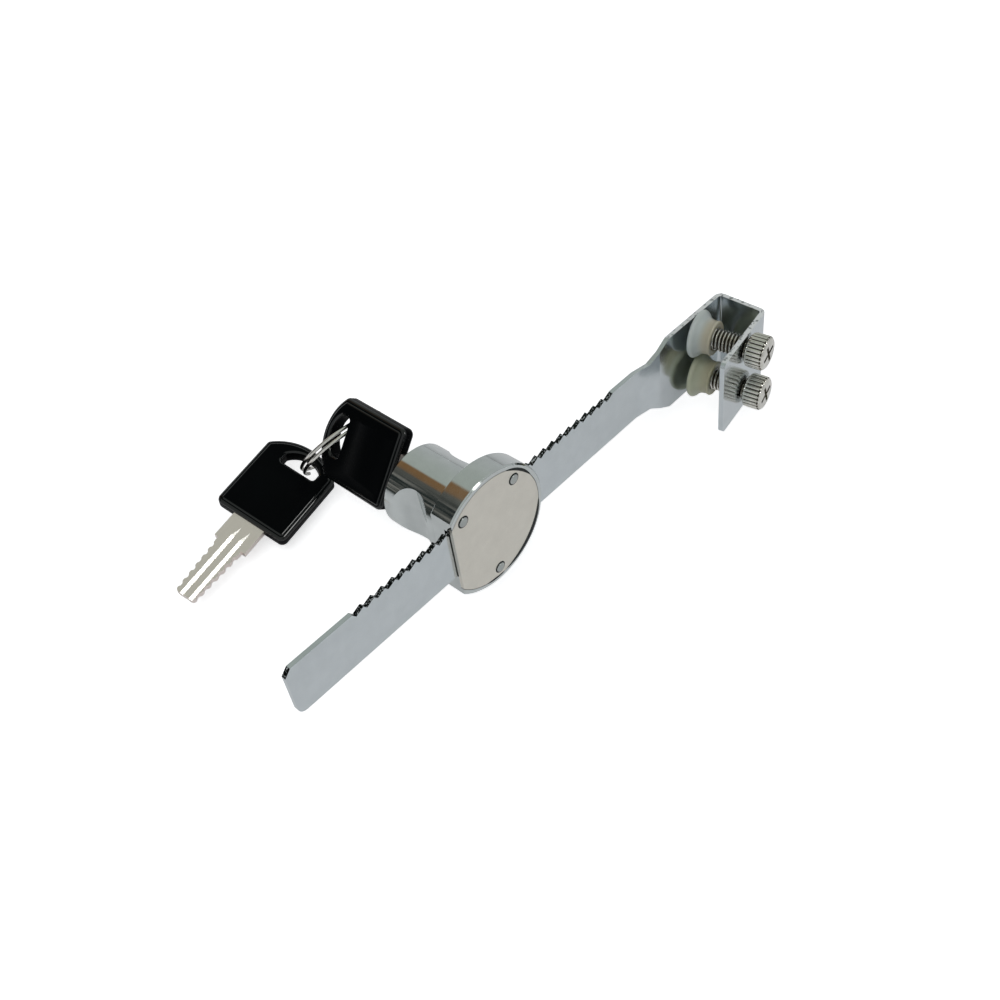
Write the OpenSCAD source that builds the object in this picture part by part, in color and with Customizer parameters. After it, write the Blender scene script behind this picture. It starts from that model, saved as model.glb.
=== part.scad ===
// Clamp-on ratchet lock for a sliding glass cabinet door, with its two keys on a split ring.
// Millimetres. X runs along the bar towards the clamp's closed end, Y from the thumbscrews to the keys,
// Z is up. The origin is the middle of the face on which the glass seats, on the clamp's inner leg.

/* [Ratchet bar] */
// Width of the toothed strip
bar_w = 15; // [14:0.5:16]
// Thickness of the strip
bar_t = 1.3; // [1.1:0.1:1.5]
// Distance from the glass seat to the strip's free end
bar_reach = 141.3; // [134:0.1:150]
// Sideways step from the clamp to the toothed strip
joggle = 1.6; // [1.4:0.1:2]
// Distance from the glass seat to the start of the step
joggle_far = 23.2; // [22:0.1:25]
// Length over which the step is made
joggle_len = 8.6; // [7:0.1:10]
// Radius at the free end's lower corner
end_round = 2.2; // [1:0.1:3]
// Cut at the free end's upper corner
end_chamfer = 1.8; // [1:0.1:3]

/* [Teeth] */
// Distance from one tooth to the next
tooth_pitch = 3.2; // [3:0.05:3.4]
// Number of teeth
tooth_count = 28; // [22:1:28]
// Depth from a tooth's tip to its root
tooth_depth = 1.1; // [0.8:0.05:1.3]
// Distance from the strip's edge down to the tips
tooth_drop = 0.15; // [0.05:0.05:0.3]
// Length of a tooth's steep face along the bar
tooth_back = 0.85; // [0.6:0.05:1.1]
// Distance from the glass seat to the first tooth's root
first_root = 121.2; // [119:0.1:123]

/* [Clamp] */
// Height of the strip's wide end
clamp_w = 23.4; // [22:0.1:26]
// Distance from the glass seat to where the strip starts to widen
flare_far = 18.2; // [17:0.1:20]
// Length over which the strip widens
flare_len = 7.6; // [6:0.1:9]
// Opening between the legs at the closed end
jaw_gap = 13; // [12:0.1:15]
// Distance from the glass seat to the inside of the closed end
seat_depth = 12.6; // [12:0.1:15]
// Inner radius of the clamp's two bends
bend_r = 0.9; // [0.6:0.1:1.5]
// Straight length of the outer leg
leg_len = 23.8; // [22:0.1:28]
// Angle by which the outer leg opens
leg_splay = 9; // [7:0.5:10]
// Radius of the outer leg's corners
leg_round = 1.6; // [0.8:0.1:3]

/* [Thumbscrews] */
// Diameter of the screw
screw_d = 6; // [5:0.1:6.4]
// Advance of the screw in one turn
screw_pitch = 1; // [0.8:0.1:1.25]
// Distance between the two screws
screw_gap = 13.7; // [13.4:0.1:14.4]
// Height of the middle of the two screws
screw_mid = 0.4; // [0:0.1:0.8]
// Distance from the bend along the outer leg to the screws
screw_along = 9.7; // [9:0.1:11]
// Diameter of the knurled head
head_d = 9.4; // [8.6:0.1:10]
// Length of the knurled head
head_len = 5.4; // [4.5:0.1:7]
// Gap between the head and the leg at rest
head_gap = 0.5; // [0.3:0.1:1]
// Number of flutes on the head
flute_count = 24; // [18:1:30]
// Width of the cross cut in the head's end
cross_w = 1.3; // [0.8:0.1:1.6]
// Depth of the cross cut
cross_h = 1.2; // [0.8:0.1:2]

/* [Pads] */
// Diameter of the pad's pressing face
pad_d = 13.2; // [12:0.1:13.2]
// Length of the pad along the screw
pad_len = 5.6; // [5:0.1:6]
// Diameter of the pad's neck
neck_d = 9.2; // [8.8:0.1:10]
// Depth of the screw's socket in the pad
socket_h = 3.2; // [2.4:0.1:3.6]
// Gap between the pad and the inner leg at rest
pad_gap = 0.3; // [0.2:0.05:0.6]

/* [Lock body] */
// Distance from the glass seat to the barrel's axis
lock_far = 80; // [76:0.1:84]
// Height of the barrel's axis
axis_z = -1.4; // [-1.6:0.1:-1.2]
// Diameter of the head
case_d = 34.8; // [34:0.1:36]
// Depth of the head behind the bar's front face
case_depth = 5.4; // [5.2:0.1:6.5]
// Distance from the axis to the head's flat side
case_flat = 12.3; // [12:0.1:13.5]
// Diameter of the barrel
barrel_d = 22; // [21.6:0.1:24]
// Distance from the bar's front face to the barrel's end
barrel_reach = 26; // [25.5:0.1:28]
// Depth of each finger scoop
scoop_depth = 4; // [2:0.1:4]
// Radius of each finger scoop
scoop_r = 7.3; // [6.5:0.1:8]
// Distance from the bar's front face to the middle of the scoops
scoop_mid = 16.5; // [16:0.1:17]
// Thickness of the back plate
plate_t = 1; // [0.8:0.1:1.2]
// Gap between the back plate and the bar
plate_gap = 0.3; // [0.2:0.05:0.4]
// Width of the head's rim outside the back plate
rim_w = 1.35; // [1.1:0.05:1.5]
// Radius on which the rivets sit
rivet_circle = 13.4; // [13.2:0.1:13.6]
// Diameter of a rivet
rivet_d = 1.8; // [1.4:0.1:1.8]
// Diameter of a rivet's peened head
rivet_head_d = 3.3; // [2.8:0.1:3.6]
// Height of a rivet's peened head
rivet_head_h = 0.25; // [0.1:0.05:0.3]

/* [Plug] */
// Diameter of the plug
plug_d = 11.6; // [11.4:0.1:11.8]
// Diameter of the plug's face
plug_face_d = 14.8; // [14:0.1:15.6]
// Thickness of the plug's face
plug_face_t = 1.6; // [1.2:0.1:2]
// Distance from the barrel's end down to the plug's face
plug_sunk = 1.7; // [1.2:0.1:2]
// Angle of the keyway at rest
key_angle = 52.4; // [48:0.1:58]
// Distance from the cam pin to the key's tip
tip_room = 2.25; // [1.5:0.05:2.5]
// Depth of the cam pin's hole in the plug
cam_hold = 1.6; // [1.2:0.1:2]
// Number of wafers
wafer_count = 5; // [3:1:5]
// Thickness of a wafer
wafer_t = 1.2; // [1:0.05:1.3]
// Width of a wafer
wafer_w = 4.8; // [4.6:0.1:5]
// Travel of a wafer when the key is drawn
wafer_travel = 0.5; // [0.3:0.05:0.55]
// Thickness of the retaining ring
clip_t = 0.64; // [0.5:0.02:0.66]
// Outer diameter of the retaining ring
clip_d = 13.8; // [13.4:0.1:14]

/* [Pawl] */
// Half of the pawl's width
pawl_half = 4.9; // [4.6:0.1:5]
// Thickness of the pawl's slide
pawl_t = 1.2; // [1:0.1:1.25]
// Height of the pawl's nose
nose_h = 3; // [2.6:0.1:3.2]
// Clearance between the nose and the teeth when the pawl is down
nose_gap = 0.12; // [0.08:0.02:0.2]
// Distance from the plug's axis to the cam pin
cam_throw = 1.2; // [1:0.05:1.25]
// Diameter of the cam pin
cam_d = 2.2; // [1.8:0.1:2.4]

/* [Springs] */
// Diameter of the pawl springs' wire
spring_wire = 0.36; // [0.3:0.02:0.4]
// Diameter of a pawl spring at the middle of its wire
spring_d = 1.9; // [1.6:0.1:2]
// Curls in a pawl spring
spring_curls = 4; // [3:1:4]
// Diameter of a wafer spring at the middle of its wire
wafer_spring_d = 0.75; // [0.6:0.05:0.8]
// Diameter of a wafer spring's wire
wafer_wire = 0.14; // [0.1:0.01:0.14]
// Curls in a wafer spring
wafer_curls = 4; // [3:1:4]

/* [Keys] */
// Width of the bow
bow_w = 22.6; // [21:0.1:24]
// Length of the bow
bow_len = 26.9; // [26.5:0.1:28]
// Radius of the bow's arched end
bow_arch = 15.9; // [15.5:0.1:17]
// Thickness of the bow
bow_t = 5; // [4.6:0.1:5.1]
// Bevel round the bow's edges
bow_bevel = 0.7; // [0.4:0.1:1]
// Radius of the bow's lower corners
bow_round = 1.8; // [1:0.1:2.4]
// Width of the hole for the ring
eye_w = 11.2; // [11:0.1:12]
// Length of the hole for the ring
eye_len = 5.2; // [5:0.1:5.4]
// Radius of the hole's arched side
eye_arch = 7.2; // [6.8:0.1:8]
// Width of plastic between the hole and the arched end
eye_edge = 2.7; // [2.5:0.1:2.8]
// Sideways place of the hole
eye_shift = 1; // [0.6:0.1:1.2]
// Width of the blade at its shoulders
shoulder_w = 10; // [9.4:0.1:11]
// Length of the blade between the bow and the shoulders
shoulder_len = 7.9; // [7:0.1:9]
// Length of the blade's end that is held inside the bow, up to the hole for the ring
tang_gap = 4; // [3:0.5:6]
// Width of the cut blade below its shoulders
blade_w = 7.7; // [7.2:0.1:8]
// Width of the blade at its tip
tip_w = 5.8; // [5.2:0.1:6.4]
// Radius of the tip's corners
tip_round = 0.9; // [0.5:0.1:1.2]
// Thickness of the blade
blade_t = 2; // [1.8:0.05:2.1]
// Distance from the shoulders to the first cut
first_cut = 2.7; // [2.6:0.05:3]
// Length of the blade beyond its last cut
last_cut = 2; // [1.8:0.1:2.4]
// Depth of a cut below the blade's edge
cut_h = 0.45; // [0.3:0.05:0.55]
// Length of a cut's flat bottom
cut_flat = 0.7; // [0.4:0.1:0.8]
// Length of a cut's sloping side
cut_run = 0.55; // [0.4:0.05:0.6]
// Width of each milled groove
groove_w = 1.1; // [0.8:0.1:1.3]
// Width of a groove's steep wall
groove_back = 0.15; // [0.1:0.05:0.3]
// Depth of each milled groove
groove_h = 0.45; // [0.3:0.05:0.55]
// Length over which a groove runs out towards the bow
groove_run = 3.2; // [2:0.1:4]
// Sideways places of the two grooves on each face
groove_places = [-1.4, 1.5]; // from -3 to 2
// Distance from the bow to the grooves' ends
groove_end = 2.5; // [2:0.1:4]

/* [Key ring] */
// Radius of the ring at the middle of its wire
ring_r = 13; // [12.8:0.1:13.4]
// Diameter of the ring's wire
ring_wire = 1; // [0.9:0.05:1]
// Distance between the ring's two turns
ring_step = 1.43; // [1.43:0.01:1.5]
// Turns of wire
ring_turns = 1.85; // [1.7:0.05:1.85]
// Sideways place of the ring in each bow's hole, from the hole's middle
pass_side = 1.45; // [1.4:0.05:1.5]
// Distance from the hole's middle down to the ring
pass_down = 0.45; // [0.4:0.05:0.5]

/* [Hidden] */
$fn = 64;

// Clearances
run_gap = 0.05; // shaft in its hole
slip_gap = 0.2; // flat part beside another that moves
key_side_gap = 0.1; // key's edges in the keyway
key_face_gap = 0.15; // key's faces in the keyway
key_seat_gap = 0.1; // key's shoulders over the plug's face
key_tip_gap = 0.5; // keyway beyond the key's tip
bar_side_gap = 0.25; // bar's edge in the head's slot
eps = 0.01; // overlap of a cut past the face that it opens
far = 100; // longer than any piece that it cuts

// Ratchet bar
bar_front = joggle;
bar_back = joggle + bar_t;
bar_top = bar_w / 2;
root_z = bar_top - tooth_drop - tooth_depth;
tip_z = bar_top - tooth_drop;

// Thumbscrews and pads, in the frame of a screw: z points out of the leg, from the leg's outer face
bend_out = bend_r + bar_t;
bend_x = seat_depth - bend_r;
bend_y = bend_r - jaw_gap;
hole_x = leg_point(screw_along, bend_out)[0];
hole_y = leg_point(screw_along, bend_out)[1];
pad_face = (-hole_y - pad_gap - pad_d / 2 * sin(leg_splay)) / cos(leg_splay);
neck_z = pad_len - pad_face;
tip_gap = 0.2; // screw's tip above the bottom of its socket

// Lock body, along Y
case_r = case_d / 2;
plate_r = case_r - rim_w - 0.15; // plate sits 0.15 clear of its recess
plate_back = bar_front - plate_gap;
plate_front = plate_back - plate_t;
case_back = bar_front + case_depth;
barrel_end = bar_front + barrel_reach;
slot_back = bar_back + slip_gap;
rivet_turns = [50, 130, 270];
rivet_end = bar_front + case_depth - 1.4;

// Pawl and plug, along Y
pawl_front = slot_back;
pawl_back = pawl_front + pawl_t;
plug_end = pawl_back + 0.15;
clip_front = plug_end + 0.53;
pocket_back = clip_front + clip_t + 0.08;
plug_face = barrel_end - plug_sunk;
plug_neck = plug_face - plug_face_t;
pocket_r = clip_d / 2 + 0.4;
groove_r = plug_d / 2 - 0.95;
turn_range = 90;
ear_h = 1.2; // wafer's ear beyond its side
ear_w = 1.2;
ear_room = 2.6; // half length of the pocket for an ear and its spring
wafer_spring_len = 2.5;

// Pawl, along Z: it rests lifted, with the plug turned to open
pawl_lift = 2 * cam_throw * sin(turn_range / 2);
nose_tip = root_z + nose_gap + pawl_lift;
nose_top = nose_tip + nose_h;
nose_front = plate_back + 0.15;
nose_back = pocket_back - 0.3;
cavity_half = pawl_half + 0.3;
cavity_top = nose_top + 2.4;
spring_hole_h = 1.5;
spring_x = 2.7;
spring_y = (nose_front + nose_back) / 2;
spring_low = nose_top - spring_hole_h + spring_wire / 2 + run_gap;
spring_high = cavity_top - spring_wire / 2 - run_gap;

// Keys: a key's frame has x across the bow, y from the blade to the bow's end, its origin at the bow's edge
key_seat = plug_face + key_seat_gap;
key_y = key_seat + shoulder_len;
cam_end = plug_end + cam_hold;
blade_len = key_seat - cam_end - tip_room;
keyway_w = blade_w + 2 * key_side_gap;
keyway_t = blade_t + 2 * key_face_gap;
wafer_first = key_seat - first_cut;
wafer_pitch = (blade_len - first_cut - last_cut) / wafer_count;
eye_end = bow_len - eye_edge;
tang_len = eye_end - eye_len - tang_gap;

// The ring goes through both bows' holes at one place of each, at these turns round its own circle
eye_pass = [eye_shift + pass_side, eye_end - eye_len / 2 - pass_down, 0];
key_turn = [0, -key_angle, 0];
spare_turn = [8.8, 18, -79.5];
ring_turn = [0, 125.7, -96.1];
ring_facets = 24;
key_at = [-lock_far, key_y, axis_z];
key_place = 187.3; // key's place round the ring, as an angle
spare_place = 301.7; // spare key's place round the ring, as an angle
ring_at = key_at + turned(eye_pass, key_turn) - ring_point(key_place);
spare_at = ring_at + ring_point(spare_place) - turned(eye_pass, spare_turn);

// A point or direction turned about X, then Y, then Z
function turned(v, t) = let (
        x = [v[0], v[1] * cos(t[0]) - v[2] * sin(t[0]), v[1] * sin(t[0]) + v[2] * cos(t[0])],
        y = [x[0] * cos(t[1]) + x[2] * sin(t[1]), x[1], x[2] * cos(t[1]) - x[0] * sin(t[1])])
    [y[0] * cos(t[2]) - y[1] * sin(t[2]), y[0] * sin(t[2]) + y[1] * cos(t[2]), y[2]];
function ring_point(turn) = turned(ring_r * [cos(turn), sin(turn), 0], ring_turn);
function wafer_y(i) = wafer_first - i * wafer_pitch;
function wafer_side(i) = i % 2 == 0 ? 1 : -1;
function root_x(i) = i * tooth_pitch - first_root;
function reversed(list) = [for (i = [len(list) - 1:-1:0]) list[i]];

module rod_y(r, y0, y1) {
    translate([0, y1, 0]) rotate([90, 0, 0]) cylinder(r = r, h = y1 - y0);
}

module prism_y(y0, y1) {
    translate([0, y1, 0]) rotate([90, 0, 0]) linear_extrude(y1 - y0) children();
}

module block(x0, x1, y0, y1, z0, z1) {
    translate([x0, y0, z0]) cube([x1 - x0, y1 - y0, z1 - z0]);
}

module at_lock() {
    translate([-lock_far, 0, axis_z]) children();
}

module at_plug() {
    at_lock() rotate([0, -key_angle, 0]) children();
}

module at_screw(z) {
    translate([hole_x, hole_y, z]) rotate([90, 0, leg_splay]) children();
}

// Points along an arc, and the shape that rounds a corner standing at the origin
function arc(centre, r, from, to) = [for (i = [0:8]) let (turn = from + (to - from) * i / 8)
    centre + r * [cos(turn), sin(turn)]];

module corner(r) {
    polygon(concat([[-1, -1], [r, -1]], arc([r, r], r, 270, 180), [[-1, r]]));
}

// Ratchet bar
function leg_point(along, out) = [
    bend_x - along * cos(leg_splay) + out * sin(leg_splay),
    bend_y - along * sin(leg_splay) - out * cos(leg_splay)];

module strip_plan() {
    near = joggle_far - joggle_len;
    upper = [bend_x, -bend_r];
    lower = [bend_x, bend_y];
    polygon(concat(
        [[-bar_reach, joggle], [-joggle_far, joggle], [-near, 0]],
        arc(upper, bend_r, 90, 0),
        arc(lower, bend_r, 0, leg_splay - 90),
        [leg_point(leg_len, bend_r), leg_point(leg_len, bend_out)],
        arc(lower, bend_out, leg_splay - 90, 0),
        arc(upper, bend_out, 0, 90),
        [[-near, bar_t], [-joggle_far, bar_back], [-bar_reach, bar_back]]));
}

module strip_side() {
    low = -bar_w / 2;
    half = clamp_w / 2;
    teeth = [for (i = [0:tooth_count - 1])
        each [[root_x(i), root_z], [root_x(i + 1) - tooth_back, tip_z]]];
    last = root_x(tooth_count) - tooth_back;
    difference() {
        polygon(concat(
            [[-bar_reach, low], [-bar_reach, bar_top - end_chamfer], [-bar_reach + end_chamfer, bar_top],
             [root_x(0) - tooth_back, bar_top]],
            teeth,
            [[last, bar_top], [-flare_far, bar_top], [flare_len - flare_far, half], [far, half],
             [far, -half], [flare_len - flare_far, -half], [-flare_far, low]]));
        translate([-bar_reach, low]) corner(end_round);
    }
}

module ratchet_bar() color("silver") {
    difference() {
        intersection() {
            linear_extrude(clamp_w + 2, center = true) strip_plan();
            prism_y(-far, far) strip_side();
        }
        for (end = [-1, 1])
            translate([bend_x, bend_y, 0]) rotate([90, 0, leg_splay])
                translate([-leg_len, end * clamp_w / 2, 0]) linear_extrude(far)
                    rotate(end > 0 ? -90 : 0) corner(leg_round);
        for (side = [-1, 1])
            at_screw(screw_mid + side * screw_gap / 2)
                translate([0, 0, -bar_t - 1]) cylinder(d = screw_d + 2 * run_gap, h = bar_t + 2);
    }
}

// Thumbscrews and pads
module knurl() {
    step = 360 / flute_count;
    r = head_d / 2;
    polygon([for (i = [0:flute_count - 1])
        for (p = [[-0.28, 0], [0.28, 0], [0.42, 0.35], [0.58, 0.35]])
            (r - p[1]) * [cos((i + p[0]) * step), sin((i + p[0]) * step)]]);
}

module thumbscrew(z) color("silver") at_screw(z) {
    rim = 0.6;
    difference() {
        union() {
            translate([0, 0, tip_gap - pad_face + pad_len - socket_h])
                cylinder(d = screw_d, h = head_gap + pad_face - pad_len + socket_h - tip_gap + eps);
            translate([0, 0, head_gap]) cylinder(r1 = head_d / 2 - 0.9, r2 = head_d / 2 - 0.4, h = rim);
            translate([0, 0, head_gap + rim]) linear_extrude(head_len - 2 * rim) knurl();
            translate([0, 0, head_gap + head_len - rim])
                cylinder(r1 = head_d / 2 - 0.35, r2 = head_d / 2 - 0.9, h = rim);
        }
        for (turn = [0, 90])
            rotate(turn) translate([-head_d / 3, -cross_w / 2, head_gap + head_len - cross_h])
                cube([head_d * 2 / 3, cross_w, cross_h + 1]);
    }
}

module pad(z) color("ivory") at_screw(z) {
    r = pad_d / 2;
    n = neck_d / 2;
    difference() {
        rotate_extrude() polygon([
            [0, -pad_face + 0.6], [r * 0.55, -pad_face + 0.35], [r - 0.5, -pad_face],
            [r - 0.1, -pad_face + 0.25], [r, -pad_face + 0.7], [r - 0.35, -pad_face + 1.3],
            [r - 1.1, -pad_face + 1.9], [r - 1.7, -pad_face + 2.6], [n, -pad_face + 3.5],
            [n, neck_z - 0.7], [n + 0.25, neck_z - 0.4], [n + 0.1, neck_z], [0, neck_z]]);
        translate([0, 0, neck_z - socket_h]) cylinder(d = screw_d + 2 * run_gap, h = socket_h + 1);
    }
}

// Lock body
module case_shape() {
    edge = 0.4;
    intersection() {
        rotate([-90, 0, 0]) rotate_extrude() polygon([
            [0, plate_front], [case_r - edge, plate_front], [case_r, plate_front + edge],
            [case_r, case_back - edge], [case_r - edge, case_back], [0, case_back]]);
        block(-case_flat, far, -far, far, -far, far);
    }
    rotate([-90, 0, 0]) rotate_extrude() polygon([
        [0, case_back - 1], [barrel_d / 2, case_back - 1], [barrel_d / 2, barrel_end - edge * 2],
        [barrel_d / 2 - edge * 2, barrel_end], [0, barrel_end]]);
}

module at_rivets() {
    for (turn = rivet_turns)
        translate([rivet_circle * cos(turn), 0, rivet_circle * sin(turn)]) children();
}

module lock_housing() color("silver") at_lock() {
    slot_top = bar_top + bar_side_gap - axis_z;
    slot_low = -bar_top - bar_side_gap - axis_z;
    difference() {
        case_shape();
        rod_y(case_r - rim_w, plate_front - 1, plate_back);
        block(-far, far, plate_back - eps, slot_back, slot_low, slot_top);
        rod_y(pocket_r, slot_back - eps, pocket_back);
        block(-cavity_half, cavity_half, plate_back - eps, pocket_back, 0, cavity_top - axis_z);
        rod_y(plug_d / 2 + run_gap, pocket_back - eps, far);
        rod_y(plug_face_d / 2 + 2 * run_gap, plug_neck - run_gap, far);
        for (quarter = [0:3])
            rotate([0, -key_angle - quarter * turn_range, 0])
                block(0, plug_d / 2 + wafer_travel + 0.05, wafer_y(wafer_count - 1) - wafer_t, plug_neck,
                      -wafer_w / 2 - 0.1, wafer_w / 2 + 0.1);
        at_rivets() rod_y(rivet_d / 2, -1, rivet_end);
        for (side = [-1, 1])
            translate([side * (barrel_d / 2 - scoop_depth + scoop_r), bar_front + scoop_mid, 0])
                cylinder(r = scoop_r, h = barrel_d + 2, center = true);
    }
}

module back_plate() color("#b5b0a5") at_lock() difference() {
    intersection() {
        rod_y(plate_r, plate_front, plate_back);
        block(-case_flat, far, -far, far, -far, far);
    }
    at_rivets() rod_y(rivet_d / 2, -far, far);
}

module plate_rivets() color("silver") at_lock() {
    r = rivet_head_d / 2;
    at_rivets() rotate([-90, 0, 0]) rotate_extrude() polygon([
        [0, plate_front - rivet_head_h], [r * 0.6, plate_front - rivet_head_h * 0.9],
        [r * 0.9, plate_front - rivet_head_h * 0.5], [r, plate_front], [rivet_d / 2, plate_front],
        [rivet_d / 2, rivet_end], [0, rivet_end]]);
}

// Plug
module lock_plug() color("tan") at_plug() {
    ear = wafer_w / 2 + ear_h + 0.1;
    difference() {
        union() {
            rod_y(plug_d / 2, plug_end, plug_neck);
            rod_y(plug_face_d / 2, plug_neck, plug_face);
        }
        difference() {
            rod_y(far, clip_front - 0.03, clip_front + clip_t + 0.03);
            rod_y(groove_r, -far, far);
        }
        block(-keyway_w / 2, keyway_w / 2, key_seat - blade_len - key_tip_gap, far,
              -keyway_t / 2, keyway_t / 2);
        for (i = [0:wafer_count - 1]) {
            y0 = wafer_y(i) - wafer_t / 2 - run_gap;
            y1 = wafer_y(i) + wafer_t / 2 + run_gap;
            block(-far, far, y0, y1, -wafer_w / 2 - run_gap, wafer_w / 2 + run_gap);
            block(-ear_room, ear_room, y0, y1, 0, ear + run_gap);
        }
        cam_place() rod_y(cam_d / 2, -far, cam_end);
    }
}

// The cam pin's place at rest, high on the side away from the clamp, in the plug's own frame
module cam_place() {
    turn = 90 + turn_range / 2 - key_angle;
    translate([cam_throw * cos(turn), 0, cam_throw * sin(turn)]) children();
}

module cam_pin() color("gray") at_plug() cam_place() rod_y(cam_d / 2, pawl_front + run_gap, cam_end);

module plug_clip() color("gray") at_plug() difference() {
    rod_y(clip_d / 2, clip_front, clip_front + clip_t);
    rod_y(groove_r + run_gap, -far, far);
    block(0, far, -far, far, -1.5, 1.5);
}

module wafer(i) color("gold") at_plug() {
    hole = blade_w / 2 + wafer_travel + 0.3;
    side = wafer_side(i);
    y0 = wafer_y(i) - wafer_t / 2;
    y1 = wafer_y(i) + wafer_t / 2;
    difference() {
        union() {
            intersection() {
                rod_y(plug_d / 2 - 0.02, y0, y1);
                block(-far, far, y0, y1, -wafer_w / 2, wafer_w / 2);
            }
            translate([side * ear_w / 2, 0, 0])
                block(-ear_w / 2, ear_w / 2, y0, y1, wafer_w / 2 - eps, wafer_w / 2 + ear_h);
        }
        block(-hole, hole, -far, far, -keyway_t / 2, keyway_t / 2);
    }
}

module wafer_springs() color("gray") at_plug() {
    low = wafer_wire / 2 + run_gap;
    for (i = [0:wafer_count - 1])
        translate([wafer_side(i) > 0 ? -wafer_spring_len : 0, wafer_y(i), (wafer_w + ear_h) / 2 + run_gap])
            rotate([0, 90, 0]) spring(wafer_spring_d, wafer_wire, wafer_curls, low, wafer_spring_len - low);
}

// Pawl, with its nose cut to the bar's own teeth
module pawl() color("gray") {
    slide_low = 3.2;
    left = -lock_far - pawl_half;
    right = pawl_half - lock_far;
    near_root = round((first_root - lock_far) / tooth_pitch);
    under = [for (i = [near_root - 2:near_root + 2])
        each [[root_x(i), nose_tip], [root_x(i + 1) - tooth_back, nose_tip + tooth_depth]]];
    difference() {
        union() {
            intersection() {
                prism_y(nose_front, nose_back)
                    polygon(concat(under,
                        [[root_x(near_root + 3), nose_top], [root_x(near_root - 2), nose_top]]));
                block(left, right, -far, far, -far, far);
            }
            block(left, right, pawl_front, pawl_back, axis_z - slide_low, nose_top - eps);
        }
        translate([-lock_far, 0, axis_z + cam_throw * sin(turn_range / 2)])
            block(-cam_throw - cam_d / 2 - 0.15, cam_d / 2 - cam_throw * cos(turn_range / 2) + 0.15,
                  -far, far, -cam_d / 2 - 0.1, cam_d / 2 + 0.1);
        for (side = [-1, 1])
            translate([side * spring_x - lock_far, spring_y, nose_top - spring_hole_h])
                cylinder(d = spring_d + spring_wire + 0.3, h = far);
    }
}

// A tube along a list of points, each with a ring of sides square to the path
function unit(v) = v / norm(v);
function heading(path, i) = unit(path[min(i + 1, len(path) - 1)] - path[max(i - 1, 0)]);

module tube(path, wire, sides) {
    n = len(path);
    points = [for (i = [0:n - 1]) let (
            ahead = heading(path, i),
            across = wire / 2 * unit(cross(ahead, [0, 0, 1])),
            up = cross(across, ahead))
        for (k = [0:sides - 1]) path[i] + cos(k * 360 / sides) * across + sin(k * 360 / sides) * up];
    walls = [for (i = [0:n - 2]) for (k = [0:sides - 1]) let (
            a = i * sides + k,
            b = i * sides + (k + 1) % sides)
        each [[a, b, b + sides], [a, b + sides, a + sides]]];
    end = (n - 1) * sides;
    caps = [for (k = [1:sides - 2]) each [[0, k + 1, k], [end, end + k, end + k + 1]]];
    polyhedron(points, concat(walls, caps));
}

module spring(d, wire, curls, low, high) {
    steps = curls * 8;
    tube([for (i = [0:steps]) let (turn = i * 45)
        [d / 2 * cos(turn), d / 2 * sin(turn), low + (high - low) * i / steps]], wire, 6);
}

module pawl_springs() color("silver")
    for (side = [-1, 1])
        translate([side * spring_x - lock_far, spring_y, 0])
            spring(spring_d, spring_wire, spring_curls, spring_low, spring_high);

// Each spring's least gap to itself
pawl_spring_gap = (spring_high - spring_low) / spring_curls - spring_wire;
wafer_spring_gap = (wafer_spring_len - 2 * run_gap - wafer_wire) / wafer_curls - wafer_wire;
echo(pawl_spring_gap_to_itself = pawl_spring_gap, wafer_spring_gap_to_itself = wafer_spring_gap);

// Keys
module bow_outline(inset) {
    half = bow_w / 2;
    difference() {
        intersection() {
            translate([-half + inset, inset]) square([bow_w - 2 * inset, bow_len]);
            translate([0, bow_len - bow_arch]) circle(bow_arch - inset);
        }
        for (side = [0, 1])
            mirror([side, 0]) translate([-half + inset, inset]) corner(bow_round);
    }
}

module eye_outline() {
    intersection() {
        translate([eye_shift - eye_w / 2, eye_end - eye_len]) square([eye_w, eye_len]);
        translate([eye_shift, eye_end - eye_arch]) circle(eye_arch);
    }
}

// A slab with its edges bevelled: a half profile, from the slab's middle to its edge
function bevelled(reach, half) = [
    [reach, half - bow_bevel], [reach - bow_bevel, half], [0, half],
    [0, -half], [reach - bow_bevel, -half], [reach, bow_bevel - half]];

module bow_body() {
    half = bow_t / 2 - 0.25;
    intersection() {
        translate([0, bow_len, 0]) rotate([90, 0, 0]) linear_extrude(bow_len) {
            translate([-1, 0]) polygon(bevelled(bow_w / 2 + 1, half));
            translate([1, 0]) mirror([1, 0]) polygon(bevelled(bow_w / 2 + 1, half));
        }
        rotate([90, 0, 90]) linear_extrude(bow_w, center = true)
            translate([far, 0]) mirror([1, 0]) polygon(bevelled(far, half));
        union() {
            translate([0, bow_len - bow_arch, 0]) rotate_extrude() polygon(bevelled(bow_arch, half));
            block(-bow_w, bow_w, -1, bow_len - bow_arch, -half, half);
        }
    }
}

module bow() color("#141617") difference() {
    union() {
        bow_body();
        linear_extrude(bow_t, center = true) difference() {
            bow_outline(2.4);
            translate([-far, eye_end - eye_len - 2.6]) square(2 * far);
        }
    }
    for (side = [0, 1])
        mirror([side, 0, 0]) translate([-bow_w / 2, 0, -bow_t]) linear_extrude(2 * bow_t) corner(bow_round);
    linear_extrude(far, center = true) eye_outline();
    block(-shoulder_w / 2 - eps, shoulder_w / 2 + eps, -1, tang_len + eps,
          -blade_t / 2 - eps, blade_t / 2 + eps);
}

// The blade's edge: half its width at a distance from the shoulders, less cuts of slightly different depths
function edge_at(along) = blade_w / 2 - (blade_w - tip_w) / 2 * along / blade_len;
function cut_at(i) = let (
        along = first_cut + i * wafer_pitch,
        start = along - cut_flat / 2,
        end = along + cut_flat / 2,
        depth = cut_h * (1 + 0.2 * sin(i * 140)))
    [[start - cut_run, 0], [start, depth], [end, depth], [end + cut_run, 0]];

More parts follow.
